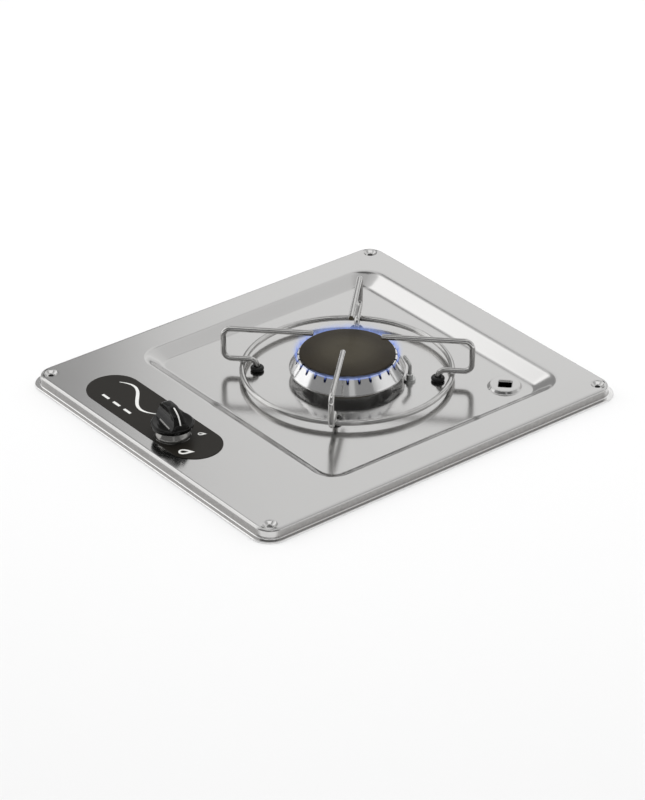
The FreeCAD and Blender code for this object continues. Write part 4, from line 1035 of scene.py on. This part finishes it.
PANELS = [
    # middle azimuth, half width, low and high elevation, softness in degrees, brightness
    ("dusk behind the camera", 310.0, 70.0, -5.0, 38.0, 6.0, 0.28),
    ("dark wall above the camera", 316.0, 70.0, 38.0, 60.0, 6.0, 0.12),
    ("overhead panel", 318.0, 75.0, 62.0, 78.0, 4.0, 1.2),
    ("grey right wall", 42.0, 26.0, 24.0, 60.0, 6.0, 0.54),
    ("low right panel", 46.0, 24.0, 3.0, 24.0, 3.0, 0.85),
    ("slim front light", 331.0, 6.0, 8.0, 46.0, 3.0, 0.55),
    ("left panel", 216.0, 22.0, 0.0, 42.0, 2.0, 1.2),
    ("dark side curtain", 163.0, 17.4, 14.0, 41.0, 0.8, 0.34),
    ("bright rear panel", 176.0, 18.0, 40.5, 51.0, 5.0, 1.45),
    ("dark gap overhead", 141.0, 12.0, 48.0, 64.0, 5.0, 0.12),
]
SKY = [
    # elevation in degrees, brightness
    (-5, 0.01), (0, 0.25), (7, 0.3), (12, 0.75), (24, 0.9),
    (27, 1.0), (33, 0.86), (57, 0.77), (74, 0.55), (84, 0.15),
]


def add_world():
    """White room whose soft panels and dark gaps show in the metal."""
    world = bpy.data.worlds.new("studio")
    bpy.context.scene.world = world
    world.use_nodes = True
    graph = Graph(world.node_tree)
    back = next(n for n in world.node_tree.nodes if n.type == "BACKGROUND")
    back.inputs["Color"].default_value = (1, 1, 1, 1)
    x, y, z = graph.axes(graph.node("ShaderNodeTexCoord", {}, {}, "Generated"))
    azimuth = y.math("ARCTAN2", y, x) * (180 / math.pi)
    elevation = z.math("ARCSINE", z) * (180 / math.pi)
    stops = [((height + 10) / 100, (level / 2,) * 3) for height, level in SKY]
    bright = graph.node("ShaderNodeValToRGB", {"stops": stops}, {0: (elevation + 10) / 100}, "Color") * 2.0
    for _, middle, half, low, high, soft, level in PANELS:
        off = abs(azimuth.math("WRAP", azimuth - middle, 180.0, -180.0))
        mask = graph.step(off, half + soft / 2, half - soft / 2)
        mask = mask * graph.step(elevation, low - soft / 2, low + soft / 2)
        mask = mask * graph.step(elevation, high + soft / 2, high - soft / 2)
        bright = bright + (level - bright) * mask
    bright = bright + graph.step(elevation, -6.0, -12.0) * 0.5
    backdrop = graph.step(elevation, -2.0, -0.5)
    seen = graph.node("ShaderNodeLightPath", {}, {}, "Is Camera Ray")
    graph.feed(back.inputs["Strength"], bright + (backdrop - bright) * seen)


def main():
    """Dresses the frame, adds the finished pieces, and sets up bench, room, camera and light."""
    finish_frame()
    make_plate(FINISHES["pressed_steel"])
    make_pan_support(FINISHES["wire_chrome"])
    make_bushes(FINISHES["bush_rubber"])
    make_burner(FINISHES["crown_aluminium"], FINISHES["cap_enamel"])
    make_probe(FINISHES[PROBE_SLOT])
    make_spring(FINISHES["spring_wire"])
    make_knob(FINISHES["knob_plastic"], FINISHES["pointer_plastic"])
    make_label_print(FINISHES["pointer_plastic"])
    make_flames(flame_core(), flame_glow())
    add_floor()
    add_world()
    add_camera()
    add_fill()
    bpy.context.scene.view_settings.view_transform = "Standard"


main()
